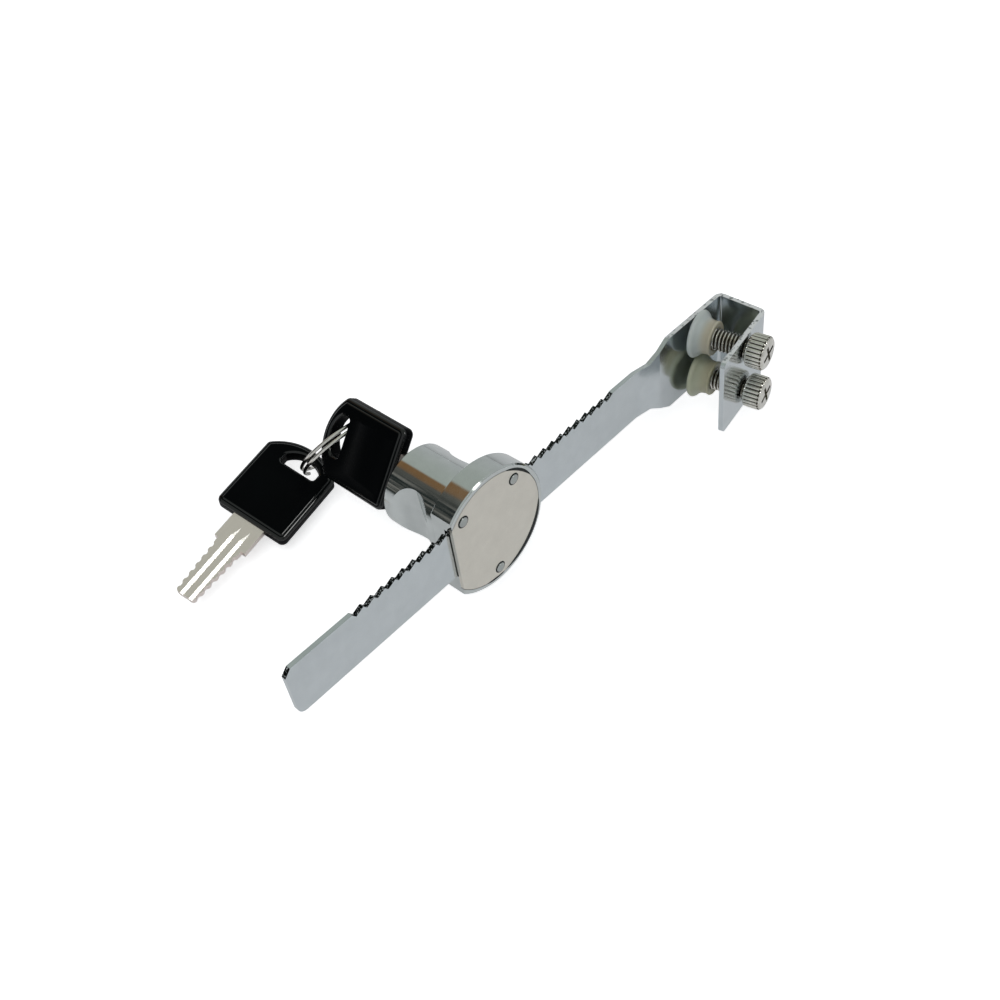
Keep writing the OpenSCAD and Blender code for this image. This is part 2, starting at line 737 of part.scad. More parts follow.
module blade_outline() {
    side = concat(
        [for (i = [0:wafer_count]) for (p = cut_at(i)) [edge_at(p[0]) - p[1], -shoulder_len - p[0]]],
        arc([tip_w / 2 - tip_round, tip_round - shoulder_len - blade_len], tip_round, 0, -90));
    wide = shoulder_w / 2;
    right = concat([[wide, tang_len], [wide, -shoulder_len], [blade_w / 2, -shoulder_len]], side);
    polygon(concat(right, reversed([for (p = right) [-p[0], p[1]]])));
}

// A milled groove: a wide wall and a steep one, which run out of the face towards the bow
module groove_section()
    polygon([[0, 0], [groove_w - groove_back, -groove_h], [groove_w, 0], [groove_w, blade_t], [0, blade_t]]);

module groove() {
    run_start = -groove_end - groove_run;
    prism_y(-shoulder_len - blade_len - 1, run_start + groove_back) groove_section();
    translate([0, run_start, 0]) rotate([atan2(groove_h, groove_run), 0, 0])
        prism_y(0, 2 * groove_run) groove_section();
}

module blade() color("#c8c4b4") difference() {
    linear_extrude(blade_t, center = true) blade_outline();
    for (face = [0, 180])
        rotate([0, face, 0]) for (place = groove_places)
            translate([place, 0, blade_t / 2]) groove();
}

module key_in_place() {
    at_plug() translate([0, key_y, 0]) children();
}

module spare_in_place() {
    translate(spare_at) rotate(spare_turn) children();
}

// The split ring's wire: nearly two turns, side by side, with one short crossing between them
function ring_side(t) = ring_step / 2 * (t < 0.9 ? -1 : t > 1 ? 1 : (t - 0.95) * 20);
ring_points = [for (i = [0:round(ring_turns * ring_facets)]) let (t = i / ring_facets)
    [ring_r * cos(t * 360), ring_r * sin(t * 360), ring_side(t)]];
// The ring's least gap to itself, over all places at least five sixths of a turn apart
ring_apart = ring_facets * 5 / 6;
ring_last = len(ring_points) - 1;
ring_gap = min([for (i = [0:ring_last - ring_apart]) for (j = [i + ring_apart:ring_last])
    norm(ring_points[i] - ring_points[j])]) - ring_wire;
echo(ring_gap_to_itself = ring_gap);

module key_ring() color("#8c8c88")
    translate(ring_at) rotate(ring_turn) tube(ring_points, ring_wire, 6);

ratchet_bar();
thumbscrew(screw_mid + screw_gap / 2);  // thumbscrew_upper
thumbscrew(screw_mid - screw_gap / 2);  // thumbscrew_lower
pad(screw_mid + screw_gap / 2);  // pad_upper
pad(screw_mid - screw_gap / 2);  // pad_lower
lock_housing();
back_plate();
plate_rivets();
lock_plug();
cam_pin();
plug_clip();
wafer(0);  // wafer_1
wafer(1);  // wafer_2
wafer(2);  // wafer_3
wafer(3);  // wafer_4
wafer(4);  // wafer_5
wafer_springs();
pawl();
pawl_springs();
key_in_place() blade();  // key_blade
key_in_place() bow();  // key_bow
spare_in_place() blade();  // spare_key_blade
spare_in_place() bow();  // spare_key_bow
key_ring();
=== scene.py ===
"""Studio model of a clamp-on ratchet lock for a sliding glass cabinet door."""

import logging
import math
from dataclasses import dataclass
from enum import Enum
from functools import reduce
from typing import Callable, Iterable, Sequence

import bmesh
import bpy
from mathutils import Matrix, Vector


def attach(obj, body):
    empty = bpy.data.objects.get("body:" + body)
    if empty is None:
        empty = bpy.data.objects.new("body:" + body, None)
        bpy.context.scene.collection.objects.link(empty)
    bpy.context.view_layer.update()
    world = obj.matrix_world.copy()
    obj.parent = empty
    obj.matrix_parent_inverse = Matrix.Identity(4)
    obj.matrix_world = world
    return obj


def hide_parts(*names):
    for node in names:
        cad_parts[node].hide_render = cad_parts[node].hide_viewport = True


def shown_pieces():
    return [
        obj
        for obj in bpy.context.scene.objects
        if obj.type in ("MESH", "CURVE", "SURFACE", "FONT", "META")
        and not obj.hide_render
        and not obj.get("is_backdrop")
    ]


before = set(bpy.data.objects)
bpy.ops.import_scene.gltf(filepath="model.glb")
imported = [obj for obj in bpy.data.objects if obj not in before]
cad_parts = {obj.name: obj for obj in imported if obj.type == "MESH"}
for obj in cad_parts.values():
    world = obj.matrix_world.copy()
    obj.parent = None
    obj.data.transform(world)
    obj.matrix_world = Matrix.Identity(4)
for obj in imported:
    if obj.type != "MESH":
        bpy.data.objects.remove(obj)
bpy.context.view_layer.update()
MM = 0.001
TURN = 2 * math.pi
SQUARE = ((-1, -1), (1, -1), (1, 1), (-1, 1))
LOG = logging.getLogger("glass_lock")

Point = tuple[float, float, float]
Pair = tuple[float, float]
Colour = tuple[float, float, float]
Ring = list[bmesh.types.BMVert]
Sockets = bpy.types.bpy_prop_collection
Socket = bpy.types.NodeSocket


class Body(Enum):
    """The moving bodies that new pieces ride on."""

    LOCK = "lock_body"
    KEY = "key"
    RING = "ring"
    SPARE = "spare_key"
    UPPER_PAD = "upper_pad"
    LOWER_PAD = "lower_pad"
    UPPER_SCREW = "upper_screw"
    LOWER_SCREW = "lower_screw"


class Row(Enum):
    """Which of the two thumbscrews a piece belongs to."""

    UPPER = 1
    LOWER = -1


def slide(x: float, y: float, z: float) -> Matrix:
    """A shift by millimetres, as a matrix in metres."""
    return Matrix.Translation(Vector((x, y, z)) * MM)


def turn(degrees: float, axis: str) -> Matrix:
    """A turn about one axis."""
    return Matrix.Rotation(math.radians(degrees), 4, axis)


def turned(degrees: Point) -> Matrix:
    """Turns about X, then Y, then Z."""
    x, y, z = degrees
    return turn(z, "Z") @ turn(y, "Y") @ turn(x, "X")


def polar(radius: float, angle: float) -> Pair:
    """A point at a radius and an angle."""
    return radius * math.cos(angle), radius * math.sin(angle)


def arc(radius: float, start: float, end: float, steps: int) -> list[Pair]:
    """Points along an arc about the origin, with both ends."""
    return [polar(radius, start + (end - start) * i / steps) for i in range(steps + 1)]


# Places that several pieces share, in millimetres and degrees

BARREL = (-80.0, -1.4)  # the barrel's axis, along the bar and up
PLATE_FACE = 0.3  # the back plate's outer face
KEY_TURN = turn(-52.4, "Y")
SPARE_TURN = turned((8.8, 18.0, -79.5))


# Meshes


class Shaper:
    """Builds closed meshes in a local frame of millimetres and places them in the model's frame."""

    domes = (70, 45, 22)  # the angles of the rings that round a wire's ends

    def __init__(self, place: Matrix) -> None:
        """Keep the local frame's place in the model, in metres."""
        self.place = place
        self.mesh = bmesh.new()

    def vertex(self, point: Sequence[float]) -> bmesh.types.BMVert:
        """Add one vertex, given in local millimetres."""
        return self.mesh.verts.new(Vector(point) * MM)

    def loop(self, points: Iterable[Sequence[float]]) -> Ring:
        """Add a ring of vertices."""
        return [self.vertex(p) for p in points]

    def skin(self, rings: Sequence[Ring]) -> None:
        """Join each ring to the next one, of equal length, with quads.

        Args:
            rings: The rings in order.
        """
        for a, b in zip(rings, rings[1:]):
            for i in range(len(a)):
                j = (i + 1) % len(a)
                self.mesh.faces.new((a[i], a[j], b[j], b[i]))

    def shell(self, rings: Sequence[Ring], start: Sequence[float], end: Sequence[float]) -> None:
        """Skin a row of rings and close both its ends with fans.

        Args:
            rings: The rings in order.
            start: The middle of the first end.
            end: The middle of the last end.
        """
        self.skin(rings)
        for ring, centre in ((rings[0][::-1], start), (rings[-1], end)):
            middle = self.vertex(centre)
            for i, vertex in enumerate(ring):
                self.mesh.faces.new((vertex, ring[(i + 1) % len(ring)], middle))

    def prism(self, rings: Sequence[Ring]) -> None:
        """Skin a row of rings and close both its ends with flat faces.

        Args:
            rings: The rings in order.
        """
        self.skin(rings)
        self.mesh.faces.new(rings[0][::-1])
        self.mesh.faces.new(rings[-1])

    def lathe(
        self, profile: Sequence[Pair], steps: int, radius: Callable[[float, float, int], float] | None = None
    ) -> None:
        """Turn a profile about the local z axis.

        Args:
            profile: Pairs of radius and height, of which the first and the last lie on the axis.
            steps: How many segments the turn has.
            radius: An optional change of radius, from radius, angle and the point's number.
        """
        rings = []
        for k, (r, z) in enumerate(profile[1:-1], 1):
            angles = [TURN * i / steps for i in range(steps)]
            rings.append(self.loop((*polar(radius(r, a, k) if radius else r, a), z) for a in angles))
        self.shell(rings, (0, 0, profile[0][1]), (0, 0, profile[-1][1]))

    def tube(self, path: Sequence[Vector], radius: float, sides: int, up: Vector) -> None:
        """Sweep a round wire with domed ends along a path.

        Args:
            path: The wire's middle, in local millimetres.
            radius: The wire's radius.
            sides: How many sides the wire has.
            up: A direction that the path never runs along.
        """
        last = len(path) - 1
        ahead = [(path[min(i + 1, last)] - path[max(i - 1, 0)]).normalized() for i in range(last + 1)]
        dome = [(math.sin(math.radians(q)), math.cos(math.radians(q))) for q in self.domes]
        stations = [
            *((path[0] - ahead[0] * radius * s, ahead[0], c) for s, c in dome),
            *((p, way, 1.0) for p, way in zip(path, ahead)),
            *((path[-1] + ahead[-1] * radius * s, ahead[-1], c) for s, c in reversed(dome)),
        ]
        rings = []
        for middle, way, scale in stations:
            across = way.cross(up).normalized()
            rise = across.cross(way)
            spokes = [polar(1.0, TURN * k / sides) for k in range(sides)]
            rings.append(self.loop(middle + (across * x + rise * y) * radius * scale for x, y in spokes))
        self.shell(rings, path[0] - ahead[0] * radius, path[-1] + ahead[-1] * radius)

    def fill(self, *rings: Ring) -> None:
        """Fill the flat area between an outer ring and its holes.

        Args:
            *rings: The outer ring and the holes' rings.
        """
        edges = []
        for ring in rings:
            for v, w in zip(ring, ring[1:] + ring[:1]):
                edges.append(self.mesh.edges.get((v, w)) or self.mesh.edges.new((v, w)))
        bmesh.ops.triangle_fill(self.mesh, edges=edges, use_beauty=True)

    def finish(self, name: str, smooth: float = 35.0) -> bpy.types.Object:
        """Turn what was built into a placed object.

        Args:
            name: The piece's name.
            smooth: The angle in degrees below which an edge is shaded smooth.

        Returns:
            The new object, at the model's origin.
        """
        bmesh.ops.remove_doubles(self.mesh, verts=self.mesh.verts, dist=1e-7)
        bmesh.ops.recalc_face_normals(self.mesh, faces=self.mesh.faces)
        self.mesh.transform(self.place)
        data = bpy.data.meshes.new(name)
        self.mesh.to_mesh(data)
        self.mesh.free()
        thing = bpy.data.objects.new(name, data)
        bpy.context.scene.collection.objects.link(thing)
        soften(thing, smooth)
        return thing


def soften(thing: bpy.types.Object, angle: float) -> None:
    """Shade smooth below an angle in degrees, and keep the sharper edges crisp."""
    thing.data.shade_smooth()
    thing.data.set_sharp_from_angle(angle=math.radians(angle))


def cut(thing: bpy.types.Object, tool: bpy.types.Object) -> None:
    """Cut one closed mesh out of another and drop the tool.

    Args:
        thing: The mesh that is cut.
        tool: The mesh that is taken out.
    """
    modifier = thing.modifiers.new("cut", "BOOLEAN")
    modifier.operation = "DIFFERENCE"
    modifier.solver = "EXACT"
    modifier.object = tool
    graph = bpy.context.evaluated_depsgraph_get()
    data = bpy.data.meshes.new_from_object(thing.evaluated_get(graph))
    thing.modifiers.clear()
    old = thing.data
    thing.data = data
    bpy.data.meshes.remove(old)
    bpy.data.objects.remove(tool)


# Shader node groups


class NodeKit:
    """Short ways to place and join nodes in one tree."""

    def __init__(self, tree: bpy.types.NodeTree) -> None:
        """Keep the tree."""
        self.tree = tree

    def add(self, kind: str, **settings: object) -> bpy.types.Node:
        """Place a node.

        Args:
            kind: The node's type.
            **settings: The node's attributes, or what feeds its inputs by name with spaces as underscores.

        Returns:
            The new node.
        """
        node = self.tree.nodes.new(kind)
        for key, value in settings.items():
            name = key.replace("_", " ")
            if name in node.inputs and not hasattr(node, key):
                self.join(value, node.inputs[name])
            else:
                setattr(node, key, value)
        return node

    def pair(self, kind: str, operation: str, a: object, b: object) -> bpy.types.Node:
        """Place a math or vector math node.

        Args:
            kind: The node's type.
            operation: The node's operation.
            a: The first value or socket.
            b: The second value or socket.

        Returns:
            The new node.
        """
        node = self.add(kind, operation=operation)
        self.join(a, node.inputs[0])
        self.join(b, node.inputs[1])
        return node

    def join(self, source: object, target: Socket) -> None:
        """Join a socket to another one, or set it to a value.

        Args:
            source: The other socket, a number, a vector or a colour without its alpha.
            target: The socket that is fed.
        """
        if isinstance(source, bpy.types.NodeSocket):
            self.tree.links.new(source, target)
        elif target.type == "RGBA":
            target.default_value = (*source, 1.0)
        else:
            target.default_value = source

    def coordinate(self, kind: str) -> Socket:
        """A texture coordinate, such as Object or Normal."""
        return self.add("ShaderNodeTexCoord").outputs[kind]

    def noise(self, where: Socket, scale: object, detail: float) -> Socket:
        """A noise texture, read at a place or in a direction."""
        return self.add("ShaderNodeTexNoise", Vector=where, Scale=scale, Detail=detail).outputs["Fac"]

    def split(self, vector: Socket) -> Sockets:
        """A vector's three parts."""
        return self.add("ShaderNodeSeparateXYZ", Vector=vector).outputs

    def maths(self, operation: str, a: object, b: object = 0.5) -> Socket:
        """A math node's result, from values or sockets."""
        return self.pair("ShaderNodeMath", operation, a, b).outputs[0]

    def product(self, *factors: object) -> Socket:
        """The product of values and sockets."""
        return reduce(lambda a, b: self.maths("MULTIPLY", a, b), factors)

    def sway(self, noise: Socket, strength: object) -> Socket:
        """A noise's swing about its middle of a half, times a strength."""
        return self.product(self.maths("SUBTRACT", noise, 0.5), strength)

    def dot(self, a: Socket, b: object) -> Socket:
        """The dot product of two vectors."""
        return self.pair("ShaderNodeVectorMath", "DOT_PRODUCT", a, b).outputs["Value"]

    def step(self, value: Socket, start: object, end: object) -> Socket:
        """A soft step of a value from 0 at the start to 1 at the end, which may lie below the start."""
        span = {"Value": value, "From_Min": start, "From_Max": end}
        return self.add("ShaderNodeMapRange", interpolation_type="SMOOTHSTEP", **span).outputs[0]

    def mix(self, factor: object, a: object, b: object) -> Socket:
        """A mix of two colours.

        Args:
            factor: The share of the second colour, as a value or a socket.
            a: The first colour or socket.
            b: The second colour or socket.

        Returns:
            The mixed colour's socket.
        """
        node = self.add("ShaderNodeMix", data_type="RGBA")
        for source, socket in ((factor, node.inputs[0]), (a, node.inputs[6]), (b, node.inputs[7])):
            self.join(source, socket)
        return node.outputs[2]

    def relief(self, height: Socket, strength: float, depth: float) -> Socket:
        """A normal that a height bumps, with its depth in metres."""
        return self.add("ShaderNodeBump", Height=height, Strength=strength, Distance=depth).outputs["Normal"]


class GroupMaker:
    """Builds the shader node groups that several finishes share, each only once."""

    def __init__(self) -> None:
        """Start with no groups made, and list the method that builds each."""
        self.made: dict[str, bpy.types.NodeTree] = {}
        shared = (self.plating, self.grain, self.moulding, self.reach, self.speckle, self.slope, self.tooth_shade)
        self.builders = {build.__name__: build for build in shared}

    def place(self, kit: NodeKit, name: str, **values: object) -> Sockets:
        """Place a group in a material with its own values.

        Args:
            kit: The material's nodes.
            name: The group's name.
            **values: The inputs that differ from the group's own values.

        Returns:
            The placed group's outputs.
        """
        if name not in self.made:
            self.builders[name]()
        return kit.add("ShaderNodeGroup", node_tree=self.made[name], **values).outputs

    def leaning(self, kit: NodeKit, flat: Point, lean: Pair) -> Socket:
        """The mask of the surface whose lean from a flat face has a cosine between two limits."""
        return self.place(kit, "slope", Flat=flat, Low=lean[0], High=lean[1])["Mask"]

    def start(
        self, name: str, outputs: Sequence[str], **inputs: float | Point
    ) -> tuple[NodeKit, Sockets, Sockets]:
        """Open a new group with float sockets, and vector sockets where an input begins with three values.

        Args:
            name: The group's name.
            outputs: The outputs' names.
            **inputs: Each input's value to begin with.
        """
        tree = bpy.data.node_groups.new(name, "ShaderNodeTree")
        for key, value in inputs.items():
            kind = "NodeSocketVector" if isinstance(value, tuple) else "NodeSocketFloat"
            tree.interface.new_socket(key, in_out="INPUT", socket_type=kind).default_value = value
        for key in outputs:
            tree.interface.new_socket(key, in_out="OUTPUT", socket_type="NodeSocketFloat")
        self.made[name] = tree
        kit = NodeKit(tree)
        return kit, kit.add("NodeGroupInput").outputs, kit.add("NodeGroupOutput").inputs

    def plating(self) -> None:
        """Plated metal's faint orange peel, dull patches and dust specks, which are nine times finer."""
        kit, given, out = self.start(
            "plating", ("Roughness", "Shade", "Height"), Scale=300.0, Roughness=0.1, Spread=0.05, Specks=0.1
        )
        where = kit.coordinate("Object")
        peel = kit.noise(where, given["Scale"], detail=3.0)
        dust = kit.noise(where, kit.product(given["Scale"], 9.0), detail=4.0)
        kit.join(kit.maths("ADD", given["Roughness"], kit.sway(peel, given["Spread"])), out["Roughness"])
        kit.join(kit.maths("ADD", peel, kit.sway(dust, given["Specks"])), out["Shade"])
        kit.join(kit.maths("ADD", kit.product(peel, 0.7), kit.product(dust, 0.3)), out["Height"])

    def grain(self) -> None:
        """Fine straight scratches along the x axis, as on rolled or brushed sheet."""
        kit, given, out = self.start("grain", ("Mask", "Height"), Scale=900.0, Stretch=0.04, Contrast=0.5)
        stretch = kit.add("ShaderNodeCombineXYZ", X=given["Stretch"], Y=1.0, Z=1.0).outputs[0]
        squeezed = kit.pair("ShaderNodeVectorMath", "MULTIPLY", kit.coordinate("Object"), stretch).outputs[0]
        lines = kit.noise(squeezed, given["Scale"], detail=2.0)
        kit.join(kit.maths("ADD", kit.sway(lines, given["Contrast"]), 0.5), out["Mask"])
        kit.join(lines, out["Height"])

    def moulding(self) -> None:
        """Moulded plastic's fine grain with a soft change of shade."""
        kit, given, out = self.start("moulding", ("Shade", "Height"), Scale=2500.0, Cloud=120.0)
        where = kit.coordinate("Object")
        kit.join(kit.noise(where, given["Cloud"], detail=2.0), out["Shade"])
        kit.join(kit.noise(where, given["Scale"], detail=2.0), out["Height"])

    def reach(self) -> None:
        """How far a point lies along an axis, from 0 at the start to 1 at the end, both in metres."""
        kit, given, out = self.start("reach", ("Mask",), Axis=(0.0, 0.0, 1.0), Start=0.0, End=0.01)
        place = kit.dot(kit.coordinate("Object"), given["Axis"])
        kit.join(kit.step(place, given["Start"], given["End"]), out["Mask"])

    def speckle(self) -> None:
        """Torn specks where a noise lies above a level, as on sheet metal's cut edge."""
        kit, given, out = self.start("speckle", ("Mask",), Scale=1100.0, Level=0.6)
        dots = kit.noise(kit.coordinate("Object"), given["Scale"], detail=2.0)
        kit.join(kit.maths("GREATER_THAN", dots, given["Level"]), out["Mask"])

    def slope(self) -> None:
        """The surface whose lean from a flat face has a cosine between two limits."""
        kit, given, out = self.start("slope", ("Mask",), Flat=(0.0, 0.0, 1.0), Low=0.1, High=0.9)
        cosine = kit.maths("ABSOLUTE", kit.dot(kit.coordinate("Normal"), given["Flat"]))
        above = kit.maths("GREATER_THAN", cosine, given["Low"])
        kit.join(kit.product(above, kit.maths("LESS_THAN", cosine, given["High"])), out["Mask"])

    def tooth_shade(self) -> None:
        """The toothed edge's slanted faces, which get painted shade, with a few specks left out.

        The inputs are the least slant, the least height, the last place along the bar and the level of
        the noise that leaves a speck out.
        """
        kit, given, out = self.start("tooth_shade", ("Mask",), Slant=0.2, Height=0.0057, Last=-0.03, Specks=0.61)
        where = kit.coordinate("Object")
        lean, place = kit.split(kit.coordinate("Normal")), kit.split(where)
        slanted = kit.maths("GREATER_THAN", kit.maths("ABSOLUTE", lean["X"]), given["Slant"])
        high = kit.maths("GREATER_THAN", place["Z"], given["Height"])
        before = kit.maths("LESS_THAN", place["X"], given["Last"])
        plain = kit.maths("LESS_THAN", kit.noise(where, scale=2400.0, detail=1.0), given["Specks"])
        kit.join(kit.product(slanted, high, before, plain), out["Mask"])


GROUPS = GroupMaker()


# Finishes


def blank(name: str, **values: object) -> tuple[bpy.types.Material, NodeKit, Sockets]:
    """Start a material.

    Args:
        name: The material's name.
        **values: Values of its shader's inputs by name, with spaces as underscores.

    Returns:
        The material, its nodes and its shader's inputs.
    """
    material = bpy.data.materials.new(name)
    material.use_nodes = True
    kit = NodeKit(material.node_tree)
    shader = material.node_tree.nodes["Principled BSDF"].inputs
    for key, value in values.items():
        kit.join(value, shader[key.replace("_", " ")])
    return material, kit, shader


class Sheen(Enum):
    """How a metal's surface is worked."""

    PLATED = "plating"
    BRUSHED = "grain"


@dataclass(frozen=True)
class MetalFinish:
    """A bare or plated metal."""

    name: str
    dark: Colour
    light: Colour
    roughness: float
    spread: float = 0.05
    specks: float = 0.1
    bump: float = 0.02
    scale: float = 300.0
    sheen: Sheen = Sheen.PLATED
    depth: float = 0.0002

    def build(self) -> bpy.types.Material:
        """Make the material.

        Returns:
            The node-based material.
        """
        material, kit, shader = blank(self.name, Metallic=1.0)
        plate = GROUPS.place(
            kit, "plating", Scale=self.scale, Roughness=self.roughness, Spread=self.spread, Specks=self.specks
        )
        shade, height = plate["Shade"], plate["Height"]
        if self.sheen is Sheen.BRUSHED:
            grain = GROUPS.place(kit, "grain")
            shade = kit.product(kit.maths("ADD", grain["Mask"], shade), 0.5)
            height = grain["Height"]
        kit.join(self.tint(kit, shader, kit.mix(shade, self.dark, self.light)), shader["Base Color"])
        kit.join(plate["Roughness"], shader["Roughness"])
        kit.join(kit.relief(height, self.bump, self.depth), shader["Normal"])
        return material

    def tint(self, kit: NodeKit, shader: Sockets, colour: Socket) -> Socket:
        """The metal's colour as it is."""
        return colour


@dataclass(frozen=True)
class BladeFinish(MetalFinish):
    """A key blade's satin nickel; its milled grooves get a painted highlight on the wide wall and painted
    shade on the steep one.
    """

    flat: Point = (0.0, 0.0, 1.0)
    # The wide walls' painted highlight and the steep walls' painted shade, each with the lean that it covers
    wide: Colour = (0.96, 0.94, 0.88)
    wide_lean: Pair = (0.8, 0.97)
    steep: Colour = (0.07, 0.045, 0.02)
    steep_lean: Pair = (0.15, 0.8)
    matt: float = 0.5

    def tint(self, kit: NodeKit, shader: Sockets, colour: Socket) -> Socket:
        """Paint a highlight on the grooves' wide walls, which are also less metallic, and shade on the steep
        ones.

        Args:
            kit: The material's nodes.
            shader: The shader's inputs.
            colour: The plain colour.

        Returns:
            The colour's socket with the grooves in it.
        """
        # Painted highlight on the wide walls and painted shade on the steep ones
        wide, steep = (GROUPS.leaning(kit, self.flat, lean) for lean in (self.wide_lean, self.steep_lean))
        kit.join(kit.maths("SUBTRACT", 1.0, kit.product(wide, self.matt)), shader["Metallic"])
        return kit.mix(steep, kit.mix(wide, colour, self.wide), self.steep)


@dataclass(frozen=True)
class BarFinish(MetalFinish):
    """The bar's chrome, with painted shade and glint specks on the teeth's slanted faces and the sheet's cut
    edges pale and torn.
    """

    # The painted shade on the teeth's slanted faces and the painted glints on them, then the cut edges' own
    # colours
    cut: Colour = (0.020, 0.026, 0.026)
    glint: Colour = (0.40, 0.43, 0.43)
    edge: Colour = (0.80, 0.82, 0.82)
    torn: Colour = (0.22, 0.24, 0.24)
    level_lean: Pair = (0.9, 1.01)
    toothed: float = -0.03  # where the teeth end along the bar, in metres
    matt: float = 0.6

    def tint(self, kit: NodeKit, shader: Sockets, colour: Socket) -> Socket:
        """Colour the cut edges, paint shade on the teeth's slanted faces and leave dull specks of painted
        glint on them.

        Args:
            kit: The material's nodes.
            shader: The shader's inputs.
            colour: The plain colour.

        Returns:
            The colour's socket with the edges and the teeth in it.
        """
        # The slanted faces are painted near black as shade, and the specks left out of it pale as painted
        # glints
        tooth_shade = GROUPS.place(kit, "tooth_shade")["Mask"]
        whole = GROUPS.place(kit, "tooth_shade", Specks=2.0)["Mask"]
        torn = GROUPS.place(kit, "speckle")["Mask"]
        plain = GROUPS.place(kit, "reach", Axis=(1.0, 0.0, 0.0), Start=self.toothed, End=0.0)["Mask"]
        level = kit.product(GROUPS.leaning(kit, (0.0, 0.0, 1.0), self.level_lean), plain)
        glints = kit.maths("SUBTRACT", whole, tooth_shade)
        dull = kit.maths("ADD", kit.product(level, self.matt), glints)
        kit.join(kit.maths("SUBTRACT", 1.0, dull), shader["Metallic"])
        edged = kit.mix(level, colour, kit.mix(torn, self.edge, self.torn))
        return kit.mix(tooth_shade, kit.mix(glints, edged, self.glint), self.cut)


@dataclass(frozen=True)
class PlasticFinish:
    """A moulded plastic."""

    name: str
    dark: Colour
    light: Colour
    roughness: float
    bump: float = 0.05
    coat: float = 0.0
    glow: float = 0.0
    shine: float = 0.5
    coat_roughness: float = 0.08
    glow_reach: Point = (1.0, 0.95, 0.8)
    glow_scale: float = 0.002
    depth: float = 0.0001

    def build(self) -> bpy.types.Material:
        """Make the material.

        Returns:
            The node-based material.
        """
        material, kit, shader = blank(
            self.name,
            Roughness=self.roughness,
            Specular_IOR_Level=self.shine,
            Coat_Weight=self.coat,
            Coat_Roughness=self.coat_roughness,
            Subsurface_Weight=self.glow,
            Subsurface_Radius=self.glow_reach,
            Subsurface_Scale=self.glow_scale,
        )
        skin = GROUPS.place(kit, "moulding")
        kit.join(self.tint(kit, kit.mix(skin["Shade"], self.dark, self.light)), shader["Base Color"])
        kit.join(kit.relief(skin["Height"], self.bump, self.depth), shader["Normal"])
        self.polish(kit, shader)
        return material

    def tint(self, kit: NodeKit, colour: Socket) -> Socket:
        """The plastic's colour as it is."""
        return colour

    def polish(self, kit: NodeKit, shader: Sockets) -> None:
        """Leave the coat as it is."""


@dataclass(frozen=True)
class PadFinish(PlasticFinish):
    """A clamp pad's translucent nylon, cool on its disc and warm towards the screw."""

    neck: Colour = (0.4, 0.4, 0.3)
    axis: Point = (0.156, -0.988, 0.0)
    span: Pair = (0.0032, 0.0056)  # where the neck's colour begins and is full, in metres

    def tint(self, kit: NodeKit, colour: Socket) -> Socket:
        """The colour, warmed along the pad's axis."""
        reach = GROUPS.place(kit, "reach", Axis=self.axis, Start=self.span[0], End=self.span[1])
        return kit.mix(reach["Mask"], colour, self.neck)


@dataclass(frozen=True)
class BowFinish(PlasticFinish):
    """Black plastic that is dull on its flat faces and glossy on its rounded edges."""

    flat: Point = (0.0, 0.0, 1.0)
    edge_lean: Pair = (0.2, 0.95)

    def polish(self, kit: NodeKit, shader: Sockets) -> None:
        """Coat the edges alone."""
        edges = GROUPS.leaning(kit, self.flat, self.edge_lean)
        kit.join(kit.product(edges, self.coat), shader["Coat Weight"])


